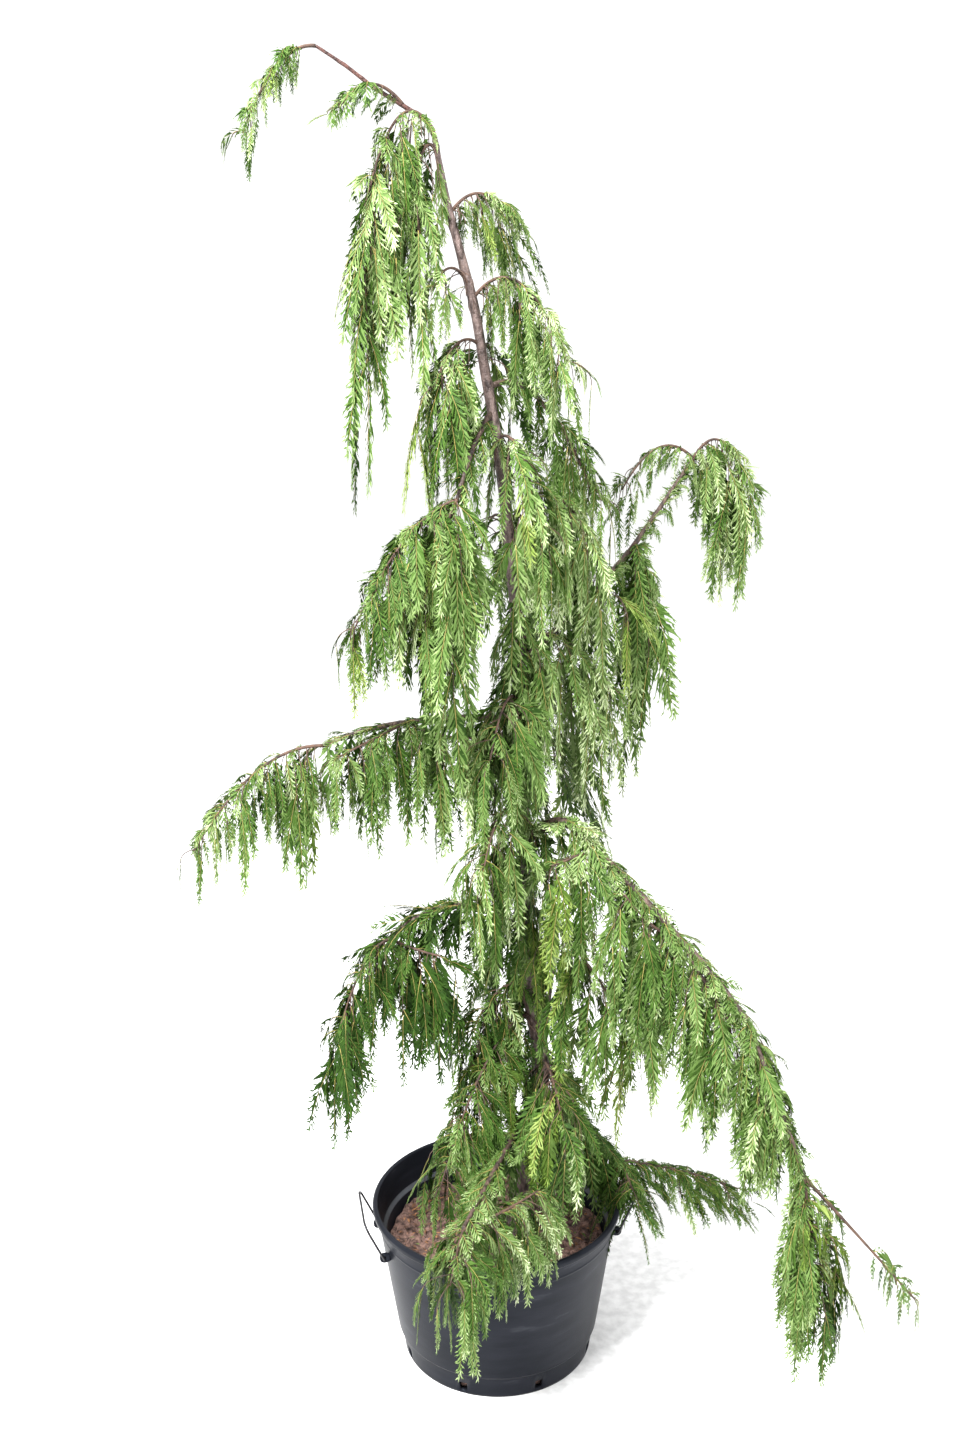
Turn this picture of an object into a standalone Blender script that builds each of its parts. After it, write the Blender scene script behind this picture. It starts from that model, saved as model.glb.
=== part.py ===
"""A weeping nootka cypress growing in a round black nursery pot.

Metres, +Z up. The origin is the middle of the pot's flat underside, and -Y is the front.
Each limb is one arch: it leaves its carrier on a compass heading and travels `reach`
over the ground while its height follows climb*t - droop*t*t. Each mass of foliage is
one stem of the same kind, with shoots that hang from it and toothed sprays on the shoots.
"""

import math
from collections import namedtuple

import bmesh
import bpy
import numpy as np
from mathutils import Vector
from mathutils.bvhtree import BVHTree

# Pot
RIM_RADIUS = 0.225
POT_HEIGHT = 0.286
BASE_RADIUS = 0.176
FOOT_HEIGHT = 0.040
FOOT_INSET = 0.004
FOOT_STEP = 0.006
WALL = 0.0035
FLOOR = 0.004
LIP_OUT = 0.006
LIP_DEPTH = 0.014
LIP_EDGE = 0.001
LIP_ROUND = (0.003, 0.004)
LIP_WIDTH = 0.009
BEAD_DROP = 0.040
BEAD_OUT = 0.0015
BEAD_HALF = 0.003
LEDGE_HEIGHT = 0.226
LEDGE_IN = 0.006
LEDGE_SLOPE = 0.004
POT_SIDES = 32
SLOT_COUNT = 8
SLOT_WIDTH = 0.014
SLOT_HEIGHT = 0.020
SLOT_TURN = 24.0
SLOT_REACH = 0.022
POT_SMOOTH = 35.0

# Handles
HANDLE_HEADINGS = {"handle_left": 190.0, "handle_right": 10.0}
LUG_HALF_ANGLE = 14.0
LUG_HEIGHT = 0.222
LUG_OUTER = 0.0080
LUG_HOLE = 0.0026
LUG_LENGTH = 0.007
LUG_STAND = 0.0095
LUG_ROOT = 1.7
LUG_SIDES = 8
WIRE_RADIUS = 0.0020
HANDLE_LENGTH = 0.078
HANDLE_CORNER = 0.020
HANDLE_LEAN = 25.0
HANDLE_OVERHANG = 0.006
HANDLE_BEND = 0.004
HANDLE_END = 0.001
HANDLE_SIDES = 6
WIRE_SMOOTH = 50.0
FINGER_ROOM = ((0.2265, 0.022, 0.258), (0.262, 0.062, 0.285))

# Soil
SOIL_TOP = 0.212
SOIL_LUMP = 0.006
SOIL_SIDES = 24
SOIL_SHY = 0.0012
LUMP_FADE = 0.040
SOIL_RINGS = (1.0, 0.88, 0.66, 0.42, 0.2)
TRUNK_SEAT = 0.075

# Clearances and seeds
GAP = 0.0003
CLEAR = 0.0006
GAP_SLACK = 0.00008
SEED = 11

# Trunk: where its middle is and its radius, from the flat cut at the soil up to the
# drooping tip of the leader
TRUNK = [
    ((0.035, 0.000, SOIL_TOP + GAP), 0.0260),
    ((0.041, 0.000, 0.250), 0.0200),
    ((0.054, 0.000, 0.340), 0.0182),
    ((0.075, 0.000, 0.475), 0.0170),
    ((0.079, 0.000, 0.575), 0.0160),
    ((0.066, 0.000, 0.660), 0.0140),
    ((0.057, 0.000, 0.765), 0.0130),
    ((0.052, 0.000, 0.895), 0.0122),
    ((0.047, 0.000, 1.040), 0.0115),
    ((0.044, 0.000, 1.180), 0.0108),
    ((0.042, 0.000, 1.315), 0.0102),
    ((0.034, 0.000, 1.435), 0.0097),
    ((0.023, 0.000, 1.540), 0.0092),
    ((0.011, 0.000, 1.635), 0.0088),
    ((-0.006, 0.000, 1.735), 0.0082),
    ((-0.023, 0.000, 1.840), 0.0074),
    ((-0.045, 0.000, 1.925), 0.0068),
    ((-0.062, 0.000, 1.990), 0.0060),
    ((-0.074, 0.000, 2.050), 0.0048),
    ((-0.080, -0.001, 2.085), 0.0040),
    ((-0.092, -0.004, 2.108), 0.0036),
    ((-0.120, -0.010, 2.126), 0.0033),
    ((-0.167, -0.022, 2.152), 0.0030),
    ((-0.210, -0.032, 2.182), 0.0027),
    ((-0.251, -0.040, 2.207), 0.0022),
]
TRUNK_RINGS = 37
TRUNK_SIDES = 8
LIMB_SMOOTH = 60.0
FLARE_RIDGES = 4
FLARE_DEPTH = 0.14
FLARE_TOP = 0.270

# Main boughs, worked out at DENSE points first. A bough on the trunk is given a height,
# and the others go on from another bough's tip.
BOUGH_RINGS = 7
BOUGH_SIDES = 6
DENSE = 1600
Bough = namedtuple("Bough", "name on height heading reach climb droop thick tip")
BOUGHS = [
    Bough("right_upper_bough", "trunk", 1.716, 21, 0.110, 0.065, 0.110, 0.0046, 0.0030),
    Bough("left_upper_bough", "trunk", 1.681, 241, 0.115, -0.070, 0.060, 0.0046, 0.0030),
    Bough("raised_bough_low", "trunk", 1.272, 32, 0.230, 0.140, -0.030, 0.0062, 0.0048),
    Bough("raised_bough_high", "raised_bough_low", None, 34, 0.140, 0.145, -0.005, 0.0046, 0.0032),
    Bough("left_long_bough_in", "trunk", 1.177, 189, 0.190, 0.030, 0.025, 0.0058, 0.0046),
    Bough("left_long_bough_out", "left_long_bough_in", None, 193, 0.135, -0.005, 0.025, 0.0044, 0.0032),
    Bough("right_long_bough_1", "trunk", 0.951, 318, 0.150, 0.220, 0.185, 0.0085, 0.0072),
    Bough("right_long_bough_2", "right_long_bough_1", None, 326, 0.160, -0.110, 0.015, 0.0070, 0.0056),
    Bough("right_long_bough_3", "right_long_bough_2", None, 316, 0.130, -0.070, 0.030, 0.0054, 0.0044),
    Bough("right_long_bough_4", "right_long_bough_3", None, 306, 0.125, -0.185, 0.020, 0.0042, 0.0032),
    Bough("left_low_bough", "trunk", 0.791, 195, 0.240, 0.255, 0.232, 0.0062, 0.0042),
    Bough("right_low_bough", "trunk", 0.506, 12, 0.150, -0.145, 0.025, 0.0064, 0.0046),
    Bough("front_bough", "trunk", 0.487, 247, 0.340, -0.040, 0.021, 0.0052, 0.0030),
]

# Masses of foliage: `drops` is how far the curtain hangs at the start, the middle and
# the end of its stem, and `spread` how far its shoots swing out to each side
Mass = namedtuple("Mass", "name on height heading reach climb droop drops spread")
MASSES = [
    Mass("leader_tassel", "tip", None, 186, 0.112, 0.015, 0.135, (0.02, 0.050, 0.090), 0.022),
    Mass("leader_tuft", "trunk", 2.129, 208, 0.105, 0.115, 0.125, (0.035, 0.045, 0.070), 0.030),
    Mass("crown_outer", "trunk", 2.103, 200, 0.112, 0.150, 0.300, (0.165, 0.26, 0.42), 0.038),
    Mass("crown_inner", "trunk", 2.060, 225, 0.056, 0.100, 0.170, (0.20, 0.28, 0.33), 0.036),
    Mass("front_high", "trunk", 1.868, 226, 0.078, 0.110, 0.110, (0.09, 0.13, 0.12), 0.030),
    Mass("right_top", "trunk", 1.977, 15, 0.102, 0.135, 0.150, (0.07, 0.15, 0.15), 0.030),
    Mass("right_high", "trunk", 1.851, 346, 0.150, 0.190, 0.290, (0.09, 0.19, 0.17), 0.045),
    Mass("left_high", "trunk", 1.779, 214, 0.088, 0.080, 0.140, (0.08, 0.24, 0.25), 0.036),
    Mass("right_upper", "right_upper_bough", None, 18, 0.074, -0.070, 0.065,
         (0.20, 0.18, 0.13), 0.050),
    Mass("left_upper_outer", "left_upper_bough", None, 187, 0.165, -0.045, 0.155,
         (0.24, 0.21, 0.13), 0.045),
    Mass("left_upper_inner", "left_upper_bough", None, 222, 0.045, -0.060, 0.030,
         (0.31, 0.35, 0.36), 0.070),
    Mass("right_mid", "trunk", 1.636, 316, 0.100, 0.080, 0.235, (0.21, 0.24, 0.26), 0.050),
    Mass("right_mid_outer", "trunk", 1.499, 13, 0.170, 0.290, 0.405, (0.18, 0.27, 0.23), 0.045),
    Mass("right_mid_low", "trunk", 1.313, 29, 0.175, 0.070, 0.170, (0.22, 0.26, 0.25), 0.055),
    Mass("raised_left", "raised_bough_high", None, 194, 0.130, 0.130, 0.180,
         (0.045, 0.075, 0.12), 0.030),
    Mass("raised_tip", "raised_bough_high", None, 360, 0.098, 0.175, 0.235,
         (0.11, 0.27, 0.20), 0.026),
    Mass("raised_curtain", "raised_bough_low", None, 10, 0.032, 0.090, 0.160,
         (0.36, 0.34, 0.28), 0.028),
    Mass("left_long_inner", "left_long_bough_in", None, 345, 0.120, -0.050, -0.030,
         (0.22, 0.25, 0.20), 0.040),
    Mass("left_long_middle", "left_long_bough_in", None, 205, 0.120, -0.045, 0.000,
         (0.20, 0.18, 0.16), 0.040),
    Mass("left_long_outer", "left_long_bough_out", None, 190, 0.218, 0.022, 0.187,
         (0.23, 0.18, 0.090), 0.040),
    Mass("centre_upper", "trunk", 1.211, 248, 0.130, 0.095, 0.165, (0.21, 0.23, 0.21), 0.050),
    Mass("centre_lower", "trunk", 0.995, 245, 0.155, 0.210, 0.240, (0.235, 0.235, 0.205), 0.050),
    Mass("right_long_inner", "right_long_bough_1", None, 203, 0.075, -0.030, -0.010,
         (0.235, 0.22, 0.19), 0.050),
    Mass("right_long_middle", "right_long_bough_2", None, 167, 0.090, 0.015, -0.055,
         (0.27, 0.30, 0.27), 0.050),
    Mass("right_long_outer", "right_long_bough_2", None, 309, 0.105, -0.110, -0.010,
         (0.28, 0.26, 0.21), 0.045),
    Mass("right_long_drop", "right_long_bough_4", None, 285, 0.045, -0.120, 0.030,
         (0.17, 0.20, 0.17), 0.050),
    Mass("right_long_low", "right_long_bough_3", None, 318, 0.055, -0.100, 0.020,
         (0.23, 0.25, 0.22), 0.045),
    Mass("right_long_end", "right_long_bough_4", None, 340, 0.170, -0.165, 0.005,
         (0.035, 0.015, 0.02), 0.020),
    Mass("left_low_inner", "left_low_bough", None, 342, 0.090, -0.030, -0.010,
         (0.22, 0.25, 0.22), 0.040),
    Mass("left_low_outer", "left_low_bough", None, 202, 0.096, -0.005, 0.150,
         (0.14, 0.18, 0.22), 0.040),
    Mass("right_inner", "trunk", 0.855, 326, 0.205, -0.080, 0.105, (0.18, 0.27, 0.21), 0.060),
    Mass("left_inner_low", "trunk", 0.698, 210, 0.120, 0.090, 0.150, (0.13, 0.18, 0.205), 0.040),
    Mass("left_front", "trunk", 0.648, 223, 0.222, 0.035, 0.280, (0.11, 0.185, 0.150), 0.050),
    Mass("right_low", "right_low_bough", None, 6, 0.226, -0.040, 0.035, (0.11, 0.13, 0.12), 0.036),
    Mass("right_low_inner", "right_low_bough", None, 290, 0.060, -0.010, 0.015,
         (0.15, 0.16, 0.14), 0.040),
    Mass("front_upper", "trunk", 0.555, 279, 0.170, 0.100, 0.110, (0.19, 0.24, 0.25), 0.050),
    Mass("front_middle", "front_bough", None, 41, 0.165, -0.020, -0.020,
         (0.165, 0.175, 0.175), 0.045),
    Mass("front_lower", "front_bough", None, 235, 0.035, -0.065, 0.015, (0.12, 0.155, 0.14), 0.055),
    Mass("back_high", "trunk", 1.760, 80, 0.120, 0.140, 0.200, (0.16, 0.24, 0.26), 0.060),
    Mass("back_upper", "trunk", 1.480, 105, 0.200, 0.180, 0.260, (0.16, 0.26, 0.26), 0.070),
    Mass("back_middle", "trunk", 1.120, 70, 0.220, 0.180, 0.260, (0.16, 0.26, 0.26), 0.070),
    Mass("back_low", "trunk", 0.760, 100, 0.210, 0.170, 0.250, (0.14, 0.24, 0.24), 0.070),
]

# Stems, shoots and sprays
STEM_RADIUS = 0.0030
STEM_TIP_RADIUS = 0.0018
SHOOT_RADIUS = 0.0019
SHOOT_TIP_RADIUS = 0.0012
SHOOT_SPACING = 0.052
SHOOTS_LEAST = 3
SHOOTS_MOST = 4
SHOOT_SHORTEST = 0.045
SPRAY_LENGTH = 0.185
SPRAY_SHORTEST = 0.060
SPRAY_WIDTH = 0.45
SPRAY_THICK = 0.0016
SPRAY_TEETH = ((0.28, 1.0), (0.38, 0.6), (0.66, 0.75))
SPRAY_CASE = ((0.30, 1.0), (0.68, 0.8))
SPRAY_CASE_TAPER = 1.3
SPRAY_ROOT = 0.0028
SPRAY_RIB = 0.32
SPRAY_SAG = 0.08
SPRAY_SPIN = 0.7
SPRAY_TRIES = (1.0, 1.0, 0.88, 0.88, 0.75, 0.75, 0.62, 0.62)
SHOOT_TRIES = (1.0, 0.75, 0.5, 0.25)
SPRAY_SINK = 0.004
SPRAY_PART = (0.85, 0.03)
SPRAY_HANG = 0.9
SPRAY_LEAN = (0.3, 0.6)
SPRAY_VARY = (0.92, 1.05)
STEM_POINTS = 4
STEM_SIDES = 3
SHOOT_POINTS = 3
SHOOT_START = 0.45
SHOOT_VARY = (0.9, 1.0)
SHOOT_FORWARD = (-0.2, 0.9)
SHOOT_SWING = (0.5, 1.0)
LONG_SHOOT = 0.165
SEAT_STEP = 0.0001
SEAT_STEPS = 250
SEAT_TURNS = 60
UP = np.array([0.0, 0.0, 1.0])
DOWN = -UP


def clear_scene():
    for obj in list(bpy.data.objects):
        bpy.data.objects.remove(obj, do_unlink=True)


def principled(name, colour, roughness, metallic=0.0):
    material = bpy.data.materials.new(name)
    material.use_nodes = True
    shader = material.node_tree.nodes["Principled BSDF"]
    shader.inputs["Base Color"].default_value = (*colour, 1.0)
    shader.inputs["Roughness"].default_value = roughness
    shader.inputs["Metallic"].default_value = metallic
    return material


def pot_plastic():
    return principled("pot_plastic", (0.016, 0.017, 0.020), 0.42)


def handle_wire():
    return principled("handle_wire", (0.030, 0.030, 0.033), 0.45, 0.8)


def potting_soil():
    return principled("potting_soil", (0.085, 0.050, 0.036), 0.95)


def bark():
    return principled("bark", (0.190, 0.130, 0.100), 0.85)


def foliage():
    return principled("foliage", (0.100, 0.210, 0.070), 0.60)


def add_object(name, verts, faces, material, smooth_angle=None):
    mesh = bpy.data.meshes.new(name)
    mesh.from_pydata([tuple(v) for v in verts], [], faces)
    mesh.update()
    obj = bpy.data.objects.new(name, mesh)
    bpy.context.scene.collection.objects.link(obj)
    finish_mesh(mesh, material, smooth_angle)
    return obj


def finish_mesh(mesh, material, smooth_angle=None):
    mesh.materials.clear()
    mesh.materials.append(material)
    if smooth_angle is not None:
        mesh.shade_smooth()
        mesh.set_sharp_from_angle(angle=math.radians(smooth_angle))


def fused(name, pieces, material, solver="EXACT", operation="UNION", smooth_angle=None):
    """Joins closed pieces, each (verts, faces), by one Boolean on a collection."""
    base = add_object(name, *pieces[0], material, smooth_angle)
    if len(pieces) == 1:
        return base
    group = bpy.data.collections.new(name + "_pieces")
    for index, piece in enumerate(pieces[1:]):
        other = add_object(f"{name}_piece_{index}", *piece, material)
        bpy.context.scene.collection.objects.unlink(other)
        group.objects.link(other)
    modifier = base.modifiers.new("join", "BOOLEAN")
    modifier.operation = operation
    modifier.operand_type = "COLLECTION"
    modifier.collection = group
    modifier.solver = solver
    evaluated = base.evaluated_get(bpy.context.evaluated_depsgraph_get())
    joined = bpy.data.meshes.new_from_object(evaluated)
    base.modifiers.clear()
    base.data = joined
    for other in list(group.objects):
        bpy.data.objects.remove(other, do_unlink=True)
    bpy.data.collections.remove(group)
    keep_largest_shell(joined)
    finish_mesh(joined, material, smooth_angle)
    return base


def keep_largest_shell(mesh):
    """Fills sealed hollows and drops loose scraps: only the largest shell stays."""
    bm = bmesh.new()
    bm.from_mesh(mesh)
    shells = []
    unseen = set(bm.verts)
    while unseen:
        front = [unseen.pop()]
        shell = set(front)
        while front:
            vert = front.pop()
            for edge in vert.link_edges:
                other = edge.other_vert(vert)
                if other in unseen:
                    unseen.discard(other)
                    shell.add(other)
                    front.append(other)
        shells.append(shell)
    shells.sort(key=len)
    for shell in shells[:-1]:
        bmesh.ops.delete(bm, geom=list(shell), context="VERTS")
    bm.to_mesh(mesh)
    bm.free()


def turned(profile, sides):
    """A profile of (radius, height) points, axis to axis, turned round Z."""
    verts = [(0.0, 0.0, profile[0][1])]
    rings = []
    for radius, height in profile[1:-1]:
        rings.append(len(verts))
        for side in range(sides):
            angle = math.tau * side / sides
            verts.append((radius * math.cos(angle), radius * math.sin(angle), height))
    last = len(verts)
    verts.append((0.0, 0.0, profile[-1][1]))
    faces = []
    for side in range(sides):
        after = (side + 1) % sides
        faces.append((0, rings[0] + after, rings[0] + side))
        for low, high in zip(rings[:-1], rings[1:]):
            faces.append((low + side, low + after, high + after, high + side))
        faces.append((rings[-1] + side, rings[-1] + after, last))
    return verts, faces


def box(centre, along, across, up, size):
    """A block with the given half sizes along three axes."""
    verts = []
    for a in (-1, 1):
        for b in (-1, 1):
            for c in (-1, 1):
                verts.append(centre + along * a * size[0] + across * b * size[1] + up * c * size[2])
    faces = [(0, 1, 3, 2), (4, 6, 7, 5), (0, 4, 5, 1), (2, 3, 7, 6), (0, 2, 6, 4), (1, 5, 7, 3)]
    return verts, faces


def frame_along(points):
    """Tangents of a curve and two vectors across it, carried along without twist."""
    points = np.asarray(points, dtype=float)
    tangents = np.gradient(points, axis=0)
    tangents /= np.linalg.norm(tangents, axis=1)[:, None]
    start = np.array([0.0, 0.0, 1.0]) if abs(tangents[0][2]) < 0.9 else np.array([1.0, 0.0, 0.0])
    across = np.cross(start, tangents[0])
    across /= np.linalg.norm(across)
    rows = []
    for tangent in tangents:
        across = across - tangent * np.dot(across, tangent)
        across /= np.linalg.norm(across)
        rows.append(across)
    across = np.array(rows)
    return tangents, across, np.cross(tangents, across)


def tube(points, radii, sides, ridges=None):
    """A closed tube along a curve. `ridges` scales the radius at (point, side)."""
    points = np.asarray(points, dtype=float)
    _, across, up = frame_along(points)
    verts = []
    for index, point in enumerate(points):
        for side in range(sides):
            angle = math.tau * side / sides
            radius = radii[index]
            if ridges is not None:
                radius *= ridges(point, angle)
            verts.append(point + radius * (math.cos(angle) * across[index] + math.sin(angle) * up[index]))
    faces = []
    for index in range(len(points) - 1):
        low = index * sides
        high = low + sides
        for side in range(sides):
            after = (side + 1) % sides
            faces.append((low + side, low + after, high + after, high + side))
    faces.append(tuple(reversed(range(sides))))
    faces.append(tuple(range(len(verts) - sides, len(verts))))
    return verts, faces


def heading_vector(degrees):
    angle = math.radians(degrees)
    return np.array([math.cos(angle), math.sin(angle), 0.0])


def arch(start, limb, count):
    """Points of a limb: over the ground at an even pace, up and down on a parabola."""
    t = np.linspace(0.0, 1.0, count)[:, None]
    return start + heading_vector(limb.heading) * limb.reach * t + UP * (limb.climb * t - limb.droop * t * t)


def smooth_path(knots, count):
    """A Catmull-Rom curve through the knots, as evenly spaced parameters."""
    knots = np.asarray(knots, dtype=float)
    padded = np.vstack([2 * knots[0] - knots[1], knots, 2 * knots[-1] - knots[-2]])
    out = []
    for value in np.linspace(0.0, len(knots) - 1.0, count):
        index = min(int(value), len(knots) - 2)
        t = value - index
        a, b, c, d = padded[index:index + 4]
        out.append(0.5 * (2 * b + (c - a) * t + (2 * a - 5 * b + 4 * c - d) * t ** 2
                          + (3 * b - a - 3 * c + d) * t ** 3))
    return np.array(out)


def tree_of(verts, faces):
    return BVHTree.FromPolygons([tuple(v) for v in verts], faces)


def touches(piece, trees):
    own = tree_of(*piece)
    return any(own.overlap(tree) for tree in trees)


def wall_slope():
    return (RIM_RADIUS - LIP_OUT - BASE_RADIUS) / POT_HEIGHT


def outer_radius(height):
    return BASE_RADIUS + wall_slope() * height


def pot_profile():
    """Underside, outer wall with its foot and bead, rolled lip, inner wall and floor."""
    bead = POT_HEIGHT - BEAD_DROP
    lip_low = POT_HEIGHT - LIP_DEPTH
    return [
        (0.0, 0.0),
        (BASE_RADIUS - FOOT_INSET, 0.0),
        (outer_radius(FOOT_HEIGHT) - FOOT_INSET, FOOT_HEIGHT),
        (outer_radius(FOOT_HEIGHT + FOOT_STEP), FOOT_HEIGHT + FOOT_STEP),
        (outer_radius(bead - BEAD_HALF), bead - BEAD_HALF),
        (outer_radius(bead) + BEAD_OUT, bead),
        (outer_radius(bead + BEAD_HALF), bead + BEAD_HALF),
        (outer_radius(lip_low), lip_low),
        (RIM_RADIUS - LIP_EDGE, lip_low + LIP_EDGE),
        (RIM_RADIUS, POT_HEIGHT - LIP_ROUND[1]),
        (RIM_RADIUS - LIP_ROUND[0], POT_HEIGHT),
        (RIM_RADIUS - LIP_WIDTH, POT_HEIGHT - LIP_EDGE),
        (outer_radius(LEDGE_HEIGHT + LEDGE_SLOPE) - WALL, LEDGE_HEIGHT + LEDGE_SLOPE),
        (outer_radius(LEDGE_HEIGHT) - WALL - LEDGE_IN, LEDGE_HEIGHT),
        (outer_radius(FOOT_HEIGHT) - WALL - LEDGE_IN, FOOT_HEIGHT),
        (BASE_RADIUS - FOOT_INSET - WALL - LEDGE_IN, FLOOR),
        (0.0, FLOOR),
    ]


def drain_slots():
    """Blocks that cut the upright drainage slots through the foot of the wall."""
    cutters = []
    for index in range(SLOT_COUNT):
        heading = SLOT_TURN + 360.0 * index / SLOT_COUNT
        out = heading_vector(heading)
        centre = out * BASE_RADIUS + UP * (FLOOR + SLOT_HEIGHT / 2)
        half = (SLOT_REACH, SLOT_WIDTH / 2, SLOT_HEIGHT / 2)
        cutters.append(box(centre, out, heading_vector(heading + 90.0), UP, half))
    return cutters


def lug_middle(heading):
    return heading_vector(heading) * (outer_radius(LUG_HEIGHT) + LUG_STAND) + UP * LUG_HEIGHT


def lug(heading, axis):
    """An eye on the pot's wall: a short ring whose hole runs along the hinge axis."""
    middle = lug_middle(heading)
    out = np.cross(axis, UP)
    if np.dot(out, middle) < 0:
        out = -out
    sides = LUG_SIDES
    verts = []
    for end in (-0.5, 0.5):
        for ring in (LUG_OUTER, LUG_HOLE):
            for side in range(sides):
                angle = math.tau * (side + 0.5) / sides
                reach = math.cos(angle) * ring
                if ring == LUG_OUTER and reach < 0:
                    reach *= LUG_ROOT
                verts.append(middle + axis * LUG_LENGTH * end + out * reach + UP * math.sin(angle) * ring)
    faces = []
    for side in range(sides):
        after = (side + 1) % sides
        faces.append((side, after, sides + after, sides + side))
        faces.append((2 * sides + side, 3 * sides + side, 3 * sides + after, 2 * sides + after))
        faces.append((side, 2 * sides + side, 2 * sides + after, after))
        faces.append((sides + side, sides + after, 3 * sides + after, 3 * sides + side))
    return outward(verts, faces)


def outward(verts, faces):
    """The same closed shape with every face pointing out."""
    bm = bmesh.new()
    corners = [bm.verts.new(tuple(v)) for v in verts]
    for face in faces:
        bm.faces.new([corners[i] for i in face])
    bmesh.ops.recalc_face_normals(bm, faces=bm.faces)
    bm.verts.index_update()
    result = [[v.index for v in face.verts] for face in bm.faces]
    bm.free()
    return verts, result


def hinge_axis(name):
    return heading_vector(HANDLE_HEADINGS[name] + 90.0)


def lug_headings(name):
    return [HANDLE_HEADINGS[name] + side * LUG_HALF_ANGLE for side in (-1, 1)]


def make_pot():
    material = pot_plastic()
    body = fused("pot", [turned(pot_profile(), POT_SIDES), *drain_slots()], material,
                 operation="DIFFERENCE")
    mesh = body.data
    verts = [v.co.copy() for v in mesh.vertices]
    faces = [tuple(p.vertices) for p in mesh.polygons]
    bpy.data.objects.remove(body, do_unlink=True)
    lugs = [lug(heading, hinge_axis(name)) for name in HANDLE_HEADINGS for heading in lug_headings(name)]
    return fused("pot", [(verts, faces), *lugs], material, smooth_angle=POT_SMOOTH)


def make_handle(name):
    """A wire loop that leans out over the lip, its ends turned in through two eyes."""
    axis = hinge_axis(name)
    out = heading_vector(HANDLE_HEADINGS[name])
    first, second = (lug_middle(heading) for heading in lug_headings(name))
    middle = (first + second) / 2
    half = abs(np.dot(second - first, axis)) / 2
    lean = math.radians(HANDLE_LEAN)
    along = out * math.sin(lean) + UP * math.cos(lean)
    width = half + LUG_LENGTH / 2 + HANDLE_OVERHANG
    corner = HANDLE_CORNER
    bend = HANDLE_BEND
    cut = bend * (1 - math.sqrt(0.5))
    outline = [(half - LUG_LENGTH / 2 - HANDLE_END, 0.0), (width - bend, 0.0), (width - cut, cut),
               (width, bend), (width, HANDLE_LENGTH - corner)]
    for step in (1, 2, 3):
        angle = math.radians(30.0 * step)
        outline.append((width - corner * (1 - math.cos(angle)),
                        HANDLE_LENGTH - corner * (1 - math.sin(angle))))
    outline = [(-a, b) for a, b in outline] + [(a, b) for a, b in reversed(outline)]
    points = [middle + axis * a + along * b for a, b in outline]
    verts, faces = tube(points, [WIRE_RADIUS] * len(points), HANDLE_SIDES)
    return add_object(name, verts, faces, handle_wire(), WIRE_SMOOTH)


def make_soil():
    """Potting soil from the pot's floor to a lumpy top that is flat round the trunk."""
    rng = np.random.default_rng(SEED)
    floor_radius = BASE_RADIUS - FOOT_INSET - WALL - LEDGE_IN - GAP
    foot_radius = outer_radius(FOOT_HEIGHT) - WALL - LEDGE_IN - GAP
    inner = outer_radius(SOIL_TOP) - WALL - LEDGE_IN - GAP
    profile = [(0.0, FLOOR + GAP), (floor_radius - SOIL_SHY, FLOOR + GAP),
               (foot_radius - SOIL_SHY, FOOT_HEIGHT)]
    profile += [(inner * part - SOIL_SHY, SOIL_TOP) for part in SOIL_RINGS]
    profile.append((0.0, SOIL_TOP))
    verts, faces = turned(profile, SOIL_SIDES)
    trunk_foot = np.array(TRUNK[0][0][:2])
    lumpy = []
    for x, y, z in verts:
        away = math.hypot(x - trunk_foot[0], y - trunk_foot[1])
        if z == SOIL_TOP and away > TRUNK_SEAT:
            low = SOIL_LUMP * rng.uniform(0.0, 1.0) * min(1.0, (away - TRUNK_SEAT) / LUMP_FADE)
            part = 1.0 - wall_slope() * low / inner
            x, y, z = x * part, y * part, z - low
        lumpy.append((x, y, z))
    return add_object("soil", lumpy, faces, potting_soil(), LIMB_SMOOTH)


def flare(point, angle):
    """Root flare: low ridges that fade out a little way up the trunk."""
    fade = max(0.0, (FLARE_TOP - point[2]) / (FLARE_TOP - SOIL_TOP))
    return 1.0 + FLARE_DEPTH * fade * math.cos(FLARE_RIDGES * angle)


def make_trunk():
    knots = [knot for knot, _ in TRUNK]
    radii = [radius for _, radius in TRUNK]
    points = smooth_path(knots, TRUNK_RINGS)
    points[0][2] = TRUNK[0][0][2]
    widths = np.interp(np.linspace(0, len(radii) - 1, TRUNK_RINGS), range(len(radii)), radii)
    verts, faces = tube(points, widths, TRUNK_SIDES, flare)
    level = TRUNK[0][0][2]
    verts = [(v[0], v[1], level) if index < TRUNK_SIDES else tuple(v) for index, v in enumerate(verts)]
    return add_object("trunk", verts, faces, bark(), LIMB_SMOOTH), points


def on_trunk(trunk_path, height):
    """The trunk's middle at a height."""
    return np.array([np.interp(height, trunk_path[:, 2], trunk_path[:, axis]) for axis in range(3)])


def slid_clear(curve, radius, sides, carrier):
    """Trims a dense curve that starts inside its carrier to where its end is just clear."""
    _, across, up = frame_along(curve)
    spots = [(0.0, 0.0)]
    for side in range(2 * sides):
        angle = math.pi * side / sides
        spots += [(part * math.cos(angle), part * math.sin(angle)) for part in (0.5, 1.0)]
    for index in range(len(curve)):
        clear = True
        for a, b in spots:
            point = Vector(curve[index] + radius * (a * across[index] + b * up[index]))
            near, normal, _, distance = carrier.find_nearest(point)
            if (point - near).dot(normal) <= 0 or distance < GAP:
                clear = False
                break
        if clear:
            return curve[index:]
    raise ValueError("a limb never leaves its carrier")


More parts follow.
